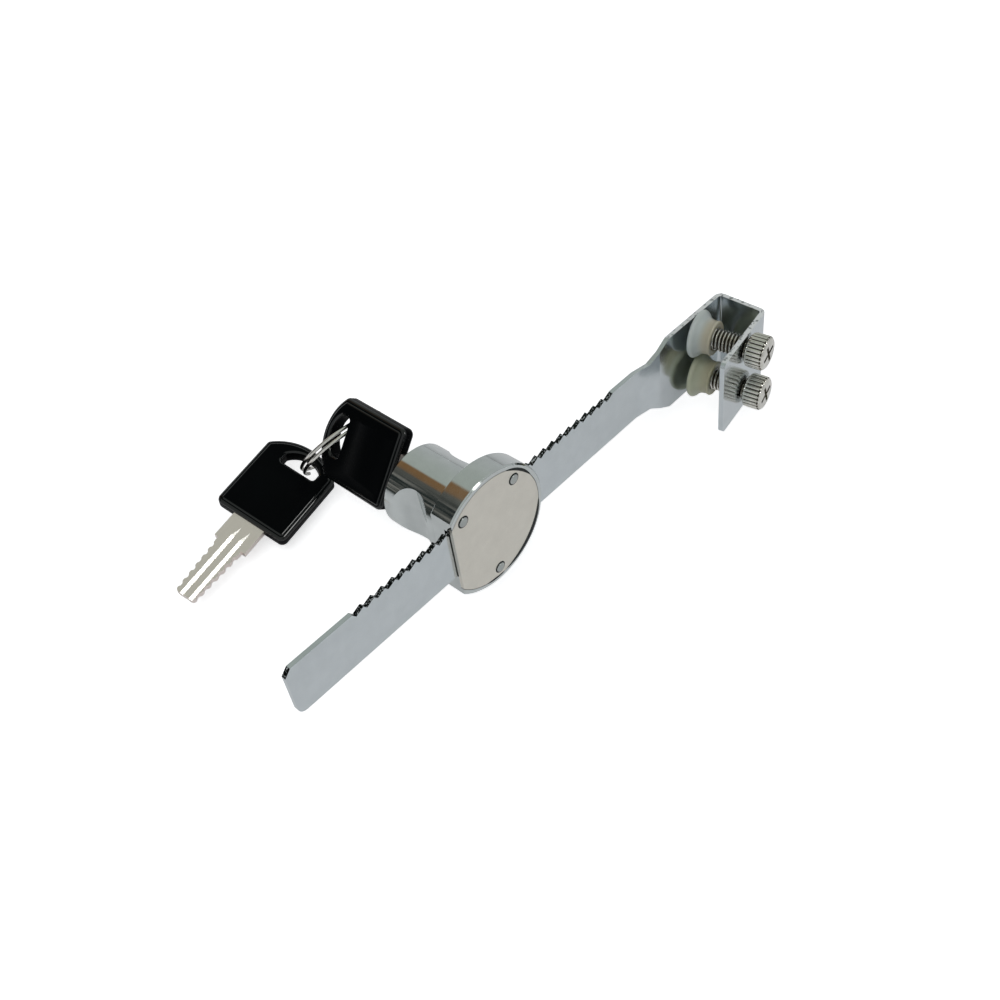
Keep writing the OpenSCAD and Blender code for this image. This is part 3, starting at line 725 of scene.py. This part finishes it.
class Finishes:
    """Every finish of the lock, built once."""

    def __init__(self) -> None:
        """Build the materials, whose values stand in the order of their class's fields."""
        key_up = tuple(KEY_TURN @ Vector((0, 0, 1)))
        spare_up = tuple(SPARE_TURN @ Vector((0, 0, 1)))
        key_nickel = ((0.85, 0.755, 0.70), (0.98, 0.89, 0.84), 0.30, 0.06, 0.25, 0.05, 260.0, Sheen.BRUSHED)
        bow_black = ((0.0012, 0.0016, 0.0018), (0.0024, 0.003, 0.0034), 0.26, 0.03, 1.0, 0.0, 0.02)
        cool, aged = ((0.38, 0.43, 0.415), (0.54, 0.585, 0.57)), ((0.34, 0.36, 0.26), (0.46, 0.48, 0.37))
        nylon = (0.34, 0.03, 0.0, 0.7)
        recipes = (
            BarFinish("bar_chrome", (0.55, 0.59, 0.61), (0.66, 0.70, 0.72), 0.16, 0.06, 0.25, 0.02),
            MetalFinish("case_chrome", (0.54, 0.57, 0.565), (0.67, 0.70, 0.695), 0.08, 0.06, 0.3, 0.015),
            MetalFinish("screw_nickel", (0.48, 0.46, 0.41), (0.94, 0.92, 0.86), 0.09, 0.06, 0.5, 0.45, 420.0),
            # Painted shade for the thumbscrews' flutes and thread valleys
            MetalFinish("screw_valley_shade", (0.03, 0.026, 0.02), (0.13, 0.115, 0.09), 0.3),
            MetalFinish("plate_satin", (0.68, 0.65, 0.585), (0.8, 0.77, 0.7), 0.42, 0.08, 0.36, 0.06, 220.0),
            MetalFinish("rivet_steel", (0.34, 0.36, 0.35), (0.50, 0.52, 0.51), 0.22, 0.1, 0.3, 0.05),
            MetalFinish("plug_plating", (0.45, 0.45, 0.43), (0.58, 0.58, 0.55), 0.2),
            MetalFinish("pawl_steel", (0.30, 0.30, 0.31), (0.42, 0.42, 0.43), 0.35, sheen=Sheen.BRUSHED),
            MetalFinish("wafer_brass", (0.55, 0.40, 0.17), (0.68, 0.52, 0.26), 0.3, sheen=Sheen.BRUSHED),
            MetalFinish("spring_wire", (0.45, 0.45, 0.46), (0.60, 0.60, 0.62), 0.2),
            BladeFinish("key_nickel", *key_nickel, flat=key_up),
            BladeFinish("spare_key_nickel", *key_nickel, flat=spare_up),
            MetalFinish("ring_nickel", (0.66, 0.64, 0.60), (0.86, 0.84, 0.80), 0.12),
            BowFinish("key_black", *bow_black, flat=key_up),
            BowFinish("spare_key_black", *bow_black, flat=spare_up),
            PadFinish("pad_nylon", *cool, *nylon, neck=(0.42, 0.40, 0.31)),
            PadFinish("pad_nylon_aged", *aged, *nylon, neck=(0.38, 0.37, 0.26)),
            # Painted shade for the plate's seam and round the rivets' domes
            MetalFinish("painted_shade", (0.012, 0.014, 0.014), (0.03, 0.034, 0.034), 0.4),
        )
        self.all = {recipe.name: recipe.build() for recipe in recipes}

    def dress(self, thing: bpy.types.Object, *names: str) -> None:
        """Give a new piece its finishes.

        Args:
            thing: The piece.
            *names: The finishes' names, the main one first.
        """
        thing.data.materials.clear()
        for name in names:
            thing.data.materials.append(self.all[name])

    def repaint(self, node: str, name: str) -> None:
        """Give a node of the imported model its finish."""
        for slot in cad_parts[node].material_slots:
            slot.material = self.all[name]


# The lock's pieces


def smoothed(values: Sequence[Pair], steps: int) -> list[Pair]:
    """Round a line of corner points into a smooth profile.

    Args:
        values: The points to pass through.
        steps: How many points stand for each stretch.

    Returns:
        The smoothed line.
    """
    points = [Vector(v) for v in values]
    out: list[Pair] = []
    for i in range(len(points) - 1):
        a, b = points[max(i - 1, 0)], points[i]
        c, d = points[i + 1], points[min(i + 2, len(points) - 1)]
        bend, twist = 2 * a - 5 * b + 4 * c - d, 3 * b - a - 3 * c + d
        for t in (k / steps for k in range(steps)):
            p = 0.5 * (2 * b + (c - a) * t + bend * t * t + twist * t**3)
            out.append((p.x, p.y))
    return [*out, (points[-1].x, points[-1].y)]


@dataclass
class ClampScrew:
    """One knurled thumbscrew with its nylon pad, in the frame of its hole in the clamp's outer leg."""

    row: Row
    hole: Pair = (2.4636, -15.7903)
    splay: float = 9.0
    middle: float = 0.4
    spacing: float = 13.7
    # The shank's thread: its tip and how far it reaches into the head, the shares of half a pitch that its
    # crest and its flank take up, how it swells from the tip, and its mesh's sides and rows per turn
    major: float = 2.99
    minor: float = 2.42
    pitch: float = 1.0
    tip: float = -12.03
    overlap: float = 0.2
    crest: float = 0.14
    flank: float = 0.72
    swell: Pair = (0.1, 1.2)
    sides: int = 48
    rows: int = 9
    # The head: its ends, and its rims as how far in, how far from the end and the flutes' share of depth
    head: Pair = (0.5, 5.9)
    head_radius: float = 4.69
    lower_rim: Sequence[Point] = (
        (1.25, 0, 0), (0.7, 0.12, 0), (0.2, 0.45, 0.45), (0.02, 0.85, 0.9), (0, 1.1, 1.0),
    )
    upper_rim: Sequence[Point] = (
        (0, 1.1, 1.0), (0.03, 0.8, 0.85), (0.25, 0.42, 0.35), (0.62, 0.12, 0), (1.0, 0, 0),
    )
    flutes: int = 24
    flute_sides: int = 8
    flute_depth: float = 0.42
    flute_power: float = 0.7
    # The crossed recess: its arms' length and width, its depth, and its turn in degrees
    cross: Point = (5.6, 1.0, 0.8)
    cross_turn: float = 20.0
    # The limits of the painted shade in the valleys, counted from the radius and from both ends
    thread_shade: Point = (0.3, 0.3, 0.1)
    flute_shade: Point = (-0.16, 0.7, -0.6)
    # The pad's profile: its hollow and disc from its face, and its collar and bore from its neck
    pad_face: float = -14.63
    pad_length: float = 5.59
    pad_hollow: Sequence[Pair] = ((0.0, 0.6), (1.8, 0.52))
    pad_disc: Sequence[Pair] = (
        (3.6, 0.35), (6.05, 0), (6.45, 0.18), (6.59, 0.62),
        (6.3, 1.2), (5.65, 1.75), (5.05, 2.5), (4.72, 3.4),
    )
    pad_collar: Sequence[Pair] = ((4.62, -1.1), (4.75, -0.6), (4.78, -0.25), (4.55, 0))
    pad_bore: Sequence[Pair] = ((3.35, 0), (3.06, -0.2), (3.06, -3.2), (0.0, -3.2))
    pad_sides: int = 72
    pad_steps: int = 5

    def place(self) -> Matrix:
        """The hole's frame, with z pointing out of the leg."""
        height = self.middle + self.row.value * self.spacing / 2
        return slide(*self.hole, height) @ turn(self.splay, "Z") @ turn(90, "X")

    def shank(self) -> bpy.types.Object:
        """The threaded shank.

        Returns:
            The shank's object.
        """
        shape = Shaper(self.place())
        rows = round((self.head[0] + self.overlap - self.tip) / self.pitch * self.rows)
        start, rise = self.swell
        rings = []
        for k in range(rows + 1):
            z = self.tip + k * self.pitch / self.rows
            ring = []
            for i in range(self.sides):
                t = (z / self.pitch - i / self.sides) % 1.0
                fall = min(max((abs(t - 0.5) * 2 - self.crest) / self.flank, 0.0), 1.0)
                r = self.major - (self.major - self.minor) * fall
                r = min(r, self.minor - start + (z - self.tip) * rise)
                ring.append((*polar(r, TURN * i / self.sides), z))
            rings.append(shape.loop(ring))
        shape.shell(rings, (0, 0, self.tip), (0, 0, self.tip + rows * self.pitch / self.rows))
        return shape.finish(f"{self.label()}_thread", smooth=50)

    def knob(self) -> bpy.types.Object:
        """The knurled head with its crossed recess.

        Returns:
            The head's object.
        """
        low, high = self.head
        points = [(self.head_radius - inset, low + z, depth) for inset, z, depth in self.lower_rim]
        points += [(self.head_radius - inset, high - z, depth) for inset, z, depth in self.upper_rim]

        def fluted(radius: float, angle: float, k: int) -> float:
            """The head's radius with its flutes."""
            crest = abs(math.sin(self.flutes * angle / 2)) ** self.flute_power
            return radius - self.flute_depth * points[k - 1][2] * (1 - crest)

        shape = Shaper(self.place())
        profile = [(0, low), *((r, z) for r, z, _ in points), (0, high)]
        shape.lathe(profile, self.flutes * self.flute_sides, fluted)
        knob = shape.finish(f"{self.label()}_head", smooth=32)
        length, width, depth = self.cross
        for angle in (0, 90):
            tool = Shaper(self.place() @ turn(angle + self.cross_turn, "Z"))
            corners = [(x * length / 2, y * width / 2) for x, y in SQUARE]
            tool.prism([tool.loop((x, y, z) for x, y in corners) for z in (high - depth, high + 1)])
            cut(knob, tool.finish("cross_tool"))
        soften(knob, angle=32)
        return knob

    def pad(self) -> bpy.types.Object:
        """The bell-shaped nylon pad.

        Returns:
            The pad's object.
        """
        face, neck = self.pad_face, self.pad_face + self.pad_length
        bell = [(r, face + z) for r, z in self.pad_disc] + [(r, neck + z) for r, z in self.pad_collar]
        hollow = [(r, face + z) for r, z in self.pad_hollow]
        bore = [(r, neck + z) for r, z in self.pad_bore]
        shape = Shaper(self.place())
        shape.lathe([*hollow, *smoothed(bell, self.pad_steps), *bore], self.pad_sides)
        return shape.finish(f"{self.label()}_pad", smooth=40)

    def paint_valley_shade(self, thing: bpy.types.Object, radius: float, low: float, high: float) -> None:
        """Give the second finish, a painted shade, to the faces that lie deeper than a radius, as in flutes
        and threads.

        Args:
            thing: The head or the shank, with two finishes.
            radius: The greatest radius of a dark face's middle.
            low: The lowest place along the screw.
            high: The highest place along the screw.
        """
        inward = self.place().inverted()
        for face in thing.data.polygons:
            x, y, z = (inward @ face.center) / MM
            if low < z < high and math.hypot(x, y) < radius:
                face.material_index = 1

    def label(self) -> str:
        """The row's name in the pieces' names."""
        return f"clamp_screw_{self.row.name.lower()}"

    def build(self, finishes: Finishes) -> None:
        """Build the screw and its pad and put them in place of the plain solids.

        Args:
            finishes: The lock's finishes.
        """
        upper = self.row is Row.UPPER
        side = "upper" if upper else "lower"
        screw = Body.UPPER_SCREW if upper else Body.LOWER_SCREW
        low, high = self.head
        for thing, limits, valley in (
            (self.shank(), (self.minor, self.tip, low), self.thread_shade),
            (self.knob(), (self.head_radius, low, high), self.flute_shade),
        ):
            # The faces deep in the flutes and the thread get the painted shade
            finishes.dress(thing, "screw_nickel", "screw_valley_shade")
            self.paint_valley_shade(thing, *(limit + gap for limit, gap in zip(limits, valley)))
            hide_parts(f"thumbscrew_{side}")
            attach(thing, screw.value)
            LOG.info("%s built", thing.name)
        pad = self.pad()
        finishes.dress(pad, "pad_nylon" if upper else "pad_nylon_aged")
        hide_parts(f"pad_{side}")
        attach(pad, (Body.UPPER_PAD if upper else Body.LOWER_PAD).value)
        LOG.info("%s built", pad.name)


@dataclass
class SplitRing:
    """The split ring's wire, nearly two turns side by side, with a short crossing between them."""

    centre: Point = (-76.063, 62.356, -9.930)
    turned: Point = (0.0, 125.7, -96.1)
    radius: float = 13.0
    wire: float = 1.0
    step: float = 1.43
    turns: float = 1.85
    crossing: Pair = (0.9, 1.0)
    segments: int = 120
    sides: int = 14

    def side(self, t: float) -> float:
        """How far to one side the wire runs.

        Args:
            t: How many turns the wire has run.

        Returns:
            The wire's place across the ring.
        """
        a, b = self.crossing
        share = min(max((t - a) / (b - a), 0.0), 1.0)
        return self.step / 2 * (2 * share * share * (3 - 2 * share) - 1)

    def build(self, finishes: Finishes) -> None:
        """Build the ring and put it in place of the plain solid.

        Args:
            finishes: The lock's finishes.
        """
        shape = Shaper(slide(*self.centre) @ turned(self.turned))
        turns = [i / self.segments for i in range(round(self.turns * self.segments) + 1)]
        path = [Vector((*polar(self.radius, TURN * t), self.side(t))) for t in turns]
        shape.tube(path, self.wire / 2, self.sides, Vector((0, 0, 1)))
        thing = shape.finish("split_ring", smooth=60)
        finishes.dress(thing, "ring_nickel")
        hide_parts("key_ring")
        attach(thing, Body.RING.value)
        LOG.info("%s built", thing.name)


@dataclass
class KeyBow:
    """A key's moulded bow, with rounded shoulders, a raised panel and a D-shaped eye."""

    body: Body
    node: str
    finish: str
    place: Matrix
    half: float = 11.3
    length: float = 26.9
    arch: float = 15.9
    corners: Pair = (1.8, 1.3)
    least_corner: float = 0.2
    # The edge and the eye's rim, each as how far in or out and how high above the middle
    edge: Sequence[Pair] = (
        (0.0, 1.05), (0.1, 1.45), (0.38, 1.8), (0.8, 2.0),
        (1.12, 2.06), (1.25, 2.2), (1.45, 2.33), (1.8, 2.38),
    )
    rim: Sequence[Pair] = ((0.0, 1.6), (0.08, 1.95), (0.3, 2.2), (0.6, 2.38))
    # The eye: its place across, both its ends along the key, and its half width
    eye: tuple[float, float, float, float] = (1.0, 19.0, 24.2, 5.6)
    eye_arc: float = 7.2
    eye_corners: Pair = (0.9, 0.7)
    # The raised panel: its half width and both its ends along the key
    panel: Point = (8.3, 2.6, 14.9)
    panel_corner: float = 1.2
    panel_taper: float = 0.97
    panel_rise: float = 0.12
    # The mesh's steps round a corner, over the arch and round the panel's corner
    steps: tuple[int, int, int] = (8, 16, 5)

    def rounded(
        self, half: float, low: float, centre: float, reach: float, radii: Pair, shift: float
    ) -> list[Pair]:
        """A D-shaped outline: a flat bottom edge, two straight sides and an arched top.

        Args:
            half: Half of the width.
            low: The bottom edge's place along the key.
            centre: The arch's centre along the key.
            reach: The arch's radius.
            radii: The corners' radii at the bottom and at the top.
            shift: The outline's place across the key.

        Returns:
            The outline, counter-clockwise, always with the same number of points.
        """
        r, q = radii
        few, many, _ = self.steps
        right = [(half - r + x, low + r + y) for x, y in arc(r, -math.pi / 2, 0.0, few)]
        cx = half - q
        cy = centre + math.sqrt(max((reach - q) ** 2 - cx * cx, 0.0))
        lean = math.atan2(cy - centre, cx)
        right += [(cx + x, cy + y) for x, y in arc(q, 0.0, lean, few)]
        right += [(x, centre + y) for x, y in arc(reach, lean, math.pi / 2, many)[1:]]
        left = [(-x, y) for x, y in reversed(right[:-1])]
        return [(x + shift, y) for x, y in right + left]

    def outline(self, inset: float) -> list[Pair]:
        """The bow's outline, drawn in by an inset."""
        r, q = (max(corner - inset, self.least_corner) for corner in self.corners)
        return self.rounded(self.half - inset, inset, self.length - self.arch, self.arch - inset, (r, q), 0.0)

    def hole(self, growth: float) -> list[Pair]:
        """The eye's outline, widened by a growth.

        Args:
            growth: How far the outline moves outward.

        Returns:
            The outline.
        """
        shift, low, high, half = self.eye
        r, q = (corner + growth for corner in self.eye_corners)
        centre = high - self.eye_arc
        return self.rounded(half + growth, low - growth, centre, self.eye_arc + growth, (r, q), shift)

    def block(self) -> list[Pair]:
        """The raised panel's outline.

        Returns:
            The outline.
        """
        half, low, high = self.panel
        r = self.panel_corner
        out = []
        for quarter, (x, y) in enumerate(((1, low + r), (1, high - r), (-1, high - r), (-1, low + r)), -1):
            start = quarter * math.pi / 2
            corner = arc(r, start, start + math.pi / 2, self.steps[2])
            out += [(x * (half - r) + dx, y + dy) for dx, dy in corner]
        return out

    def build(self, finishes: Finishes) -> None:
        """Build the bow and put it in place of the plain solid.

        Args:
            finishes: The lock's finishes.
        """
        shape = Shaper(self.place)
        sides = []
        for levels, line in ((self.edge, self.outline), (self.rim, self.hole)):
            both = [(a, -z) for a, z in reversed(levels)] + list(levels)
            sides.append([shape.loop((x, y, z) for x, y in line(a)) for a, z in both])
        for rings in sides:
            shape.skin(rings)
        outer, inner = sides
        top = self.edge[-1][1]
        middle = (self.panel[1] + self.panel[2]) / 2
        for k, side in ((0, -1), (-1, 1)):
            z, rise = side * top, side * top + side * self.panel_rise
            foot = shape.loop((x, y, z) for x, y in self.block())
            shape.fill(outer[k], inner[k], foot)
            taper = self.panel_taper
            panel = shape.loop((x * taper, middle + (y - middle) * taper, rise) for x, y in self.block())
            shape.skin((foot, panel))
            shape.fill(panel)
        thing = shape.finish(f"{self.node}_moulded", smooth=30)
        finishes.dress(thing, self.finish)
        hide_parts(self.node)
        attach(thing, self.body.value)
        LOG.info("%s built", thing.name)


@dataclass
class PeenedRivets:
    """The three rivets that hold the back plate, each a bright dome on the plain solid's head, painted dark
    round it as shade.
    """

    circle: float = 13.4
    angles: Sequence[float] = (50.0, 130.0, 270.0)
    dome: Sequence[Pair] = (
        (0, -0.2), (1.3, -0.2), (1.3, 0.16), (1.2, 0.25), (0.95, 0.31), (0.55, 0.335), (0, 0.32),
    )
    sides: int = 48

    def build(self, finishes: Finishes) -> None:
        """Build the rivets' domes over the plain solids.

        Args:
            finishes: The lock's finishes.
        """
        for number, angle in enumerate(self.angles, 1):
            x, z = polar(self.circle, math.radians(angle))
            shape = Shaper(slide(BARREL[0] + x, PLATE_FACE, BARREL[1] + z) @ turn(90, "X"))
            shape.lathe(self.dome, self.sides)
            thing = shape.finish(f"rivet_dome_{number}", smooth=50)
            finishes.dress(thing, "rivet_steel")
            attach(thing, Body.LOCK.value)
            LOG.info("%s built", thing.name)


@dataclass
class PlateSeamShade:
    """Painted shade in the gap between the back plate and the head's rim, where it is open enough to be seen.
    """

    radius: float = 15.98
    rise: float = 0.02
    sunk: float = -0.2
    # Each crescent's start and end in degrees and its width, then its tips' share of the width and its taper
    arcs: Sequence[Point] = ((28.0, 66.0, 0.8), (-82.0, -8.0, 1.3), (-108.0, -86.0, 0.6))
    tip: float = 0.12
    power: float = 0.6
    steps: int = 32

    def build(self, finishes: Finishes) -> None:
        """Build one thin dark crescent of painted shade for each open stretch.

        Args:
            finishes: The lock's finishes.
        """
        for number, (start, end, width) in enumerate(self.arcs, 1):
            shape = Shaper(slide(BARREL[0], PLATE_FACE, BARREL[1]) @ turn(90, "X"))
            rings = []
            for share in (i / self.steps for i in range(self.steps + 1)):
                a = math.radians(start + (end - start) * share)
                half = width / 2 * (self.tip + (1 - self.tip) * math.sin(math.pi * share) ** self.power)
                section = ((-half, self.sunk), (half, self.sunk), (half, self.rise), (-half, self.rise))
                rings.append(shape.loop((*polar(self.radius + r, a), z) for r, z in section))
            shape.prism(rings)
            thing = shape.finish(f"plate_seam_{number}")
            finishes.dress(thing, "painted_shade")
            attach(thing, Body.LOCK.value)
            LOG.info("%s built", thing.name)


# Camera, floor and light


@dataclass
class Studio:
    """The pale floor, the room that the metal mirrors, and the camera of the photograph."""

    eye: Point = (-197.1, -139.7, 192.5)
    azimuth: float = -43.51
    elevation: float = 43.841
    roll: float = -7.332
    lens: float = 40.13
    shift: Pair = (-0.0344, -0.0330)
    floor_up: Point = (-0.117, -0.160, 0.980)
    floor_white: Colour = (0.90, 0.91, 0.92)
    floor_half: float = 4.0
    floor_gap: float = 0.0002
    floor_glow: float = 0.6
    daylight: Colour = (0.36, 0.3636, 0.3672)
    # The room's parts, each with two colours that run into each other
    above: tuple[Colour, Colour] = ((0.52, 0.54, 0.54), (0.44, 0.48, 0.44))
    board: tuple[Colour, Colour] = ((0.23, 0.13, 0.06), (0.10, 0.10, 0.09))
    corner: tuple[Colour, Colour] = ((0.012, 0.02, 0.02), (0.24, 0.23, 0.21))
    # Where they begin and are full, along an axis of the direction, and on the noise that paints the shelves
    above_z: Pair = (0.2, 0.95)
    board_x: Pair = (0.05, -0.04)
    board_y: Pair = (0.525, 0.545)
    board_end: Pair = (-0.17, -0.27)
    corner_x: Pair = (-0.31, -0.5)
    corner_y: Pair = (0.25, 0.40)
    corner_z: Pair = (0.0, 0.14)
    shelves: Pair = (0.46, 0.66)
    # The window's direction, its half width in degrees, the part of it that is full, and its light
    window: tuple[Point, float, float, Colour] = ((0.23, -0.67, 0.71), 11.0, 5.5, (8.0, 8.0, 7.84))
    # Each lamp's name, place, width and power
    lamps: Sequence[tuple[str, Point, float, float]] = (
        ("key_lamp", (-0.5, -0.3, 0.9), 0.7, 3.7),
        ("fill_lamp", (0.6, -0.7, 0.6), 0.8, 1.6),
    )

    def camera(self) -> None:
        """Place the camera at the photograph's viewpoint."""
        a, e, r = (math.radians(v) for v in (self.azimuth, self.elevation, self.roll))
        back = Vector((math.sin(a) * math.cos(e), -math.cos(a) * math.cos(e), math.sin(e)))
        right = Vector((math.cos(a), math.sin(a), 0.0))
        rise = back.cross(right)
        x = right * math.cos(r) + rise * math.sin(r)
        y = rise * math.cos(r) - right * math.sin(r)
        data = bpy.data.cameras.new("camera")
        data.sensor_width = 36.0
        data.lens = self.lens
        data.shift_x, data.shift_y = self.shift
        data.clip_start, data.clip_end = 0.01, 20.0
        thing = bpy.data.objects.new("camera", data)
        place = Matrix((x, y, back)).transposed().to_4x4()
        place.translation = Vector(self.eye) * MM
        thing.matrix_world = place
        bpy.context.scene.collection.objects.link(thing)
        bpy.context.scene.camera = thing

    def floor(self) -> None:
        """Lay the pale floor under the lowest points, on the slope that the lock lies on."""
        up = Vector(self.floor_up).normalized()
        graph = bpy.context.evaluated_depsgraph_get()
        low = math.inf
        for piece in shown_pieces():
            shown = piece.evaluated_get(graph)
            data = shown.to_mesh()
            for vertex in data.vertices:
                low = min(low, (shown.matrix_world @ vertex.co).dot(up))
            shown.to_mesh_clear()
        data = bpy.data.meshes.new("floor")
        side = Vector((1, 0, 0)).cross(up).normalized()
        ahead = up.cross(side).normalized()
        middle, half = up * (low - self.floor_gap), self.floor_half
        corners = [tuple(middle + side * a * half + ahead * b * half) for a, b in SQUARE]
        data.from_pydata(corners, [], [(0, 1, 2, 3)])
        thing = bpy.data.objects.new("floor", data)
        bpy.context.scene.collection.objects.link(thing)
        material, kit, shader = blank(
            "floor_white", Base_Color=self.floor_white, Roughness=0.9, Emission_Color=(1.0, 1.0, 1.0)
        )
        path = kit.add("ShaderNodeLightPath").outputs
        kit.join(kit.product(path["Is Camera Ray"], self.floor_glow), shader["Emission Strength"])
        data.materials.append(material)
        thing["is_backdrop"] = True

    def room(self) -> None:
        """Paint the room that reflections see: pale above, with a dark corner that has a wooden edge.

        A round bright window in it lights up the edges and the key's grooves. The camera itself sees white,
        and dull surfaces get an even daylight.
        """
        world = bpy.data.worlds.new("room")
        bpy.context.scene.world = world
        world.use_nodes = True
        kit = NodeKit(world.node_tree)
        where = kit.coordinate("Generated")
        x, y, z = kit.split(where)
        blur = kit.sway(kit.noise(where, scale=5.0, detail=3.0), strength=0.25)
        left = kit.maths("ADD", x, blur)
        behind = kit.product(kit.step(y, *self.corner_y), kit.step(kit.maths("ADD", z, blur), *self.corner_z))
        edge = kit.product(behind, kit.step(y, *self.board_y), kit.step(x, *self.board_x))
        above = kit.mix(kit.maths("ADD", kit.step(z, *self.above_z), blur), *self.above)
        board = kit.mix(kit.step(left, *self.board_end), *self.board)
        corner = kit.mix(kit.step(kit.noise(where, scale=17.0, detail=4.0), *self.shelves), *self.corner)
        dark = kit.product(behind, kit.step(left, *self.corner_x))
        inside = kit.mix(dark, kit.mix(edge, above, board), corner)
        direction, outer, inner, light = self.window
        near = kit.dot(where, Vector(direction).normalized())
        window = kit.step(near, *(math.cos(math.radians(a)) for a in (outer, inner)))
        path = kit.add("ShaderNodeLightPath").outputs
        glossy = kit.maths("MAXIMUM", path["Is Glossy Ray"], path["Is Transmission Ray"])
        plain = kit.mix(glossy, self.daylight, kit.mix(window, inside, light))
        sky = world.node_tree.nodes["Background"].inputs
        kit.join(kit.mix(path["Is Camera Ray"], plain, (1.0, 1.0, 1.0)), sky["Color"])
        sky["Strength"].default_value = 1.0

    def light(self) -> None:
        """Hang the soft lamps."""
        for name, at, size, power in self.lamps:
            data = bpy.data.lights.new(name, "AREA")
            data.shape = "DISK"
            data.size = size
            data.energy = power
            thing = bpy.data.objects.new(name, data)
            thing.location = at
            thing.rotation_euler = (-Vector(at)).to_track_quat("-Z", "Y").to_euler()
            thing.visible_glossy = False
            bpy.context.scene.collection.objects.link(thing)

    def build(self) -> None:
        """Set up the whole studio."""
        bpy.context.scene.view_settings.view_transform = "Standard"
        self.camera()
        self.floor()
        self.room()
        self.light()


def main() -> None:
    """Build and dress every sub-assembly, then the studio."""
    logging.basicConfig(level=logging.INFO, format="%(message)s")
    finishes = Finishes()
    plain = {
        "ratchet_bar": "bar_chrome",
        "lock_housing": "case_chrome",
        "back_plate": "plate_satin",
        # The plain rivet heads show round the domes as a ring of painted shade
        "plate_rivets": "painted_shade",
        "lock_plug": "plug_plating",
        "cam_pin": "pawl_steel",
        "plug_clip": "pawl_steel",
        "pawl": "pawl_steel",
        "wafer_springs": "spring_wire",
        "pawl_springs": "spring_wire",
        "key_blade": "key_nickel",
        "spare_key_blade": "spare_key_nickel",
        **{f"wafer_{i}": "wafer_brass" for i in range(1, 6)},
    }
    for node, finish in plain.items():
        finishes.repaint(node, finish)
        LOG.info("%s dressed in %s", node, finish)
    keyway = slide(BARREL[0], 33.9, BARREL[1]) @ KEY_TURN
    spare = slide(-107.795, 66.961, -17.798) @ SPARE_TURN
    assemblies = (
        ClampScrew(Row.UPPER),
        ClampScrew(Row.LOWER),
        SplitRing(),
        KeyBow(Body.KEY, "key_bow", "key_black", keyway),
        KeyBow(Body.SPARE, "spare_key_bow", "spare_key_black", spare),
        PeenedRivets(),
        PlateSeamShade(),
    )
    for assembly in assemblies:
        assembly.build(finishes)
    Studio().build()


if __name__ == "__main__":
    main()
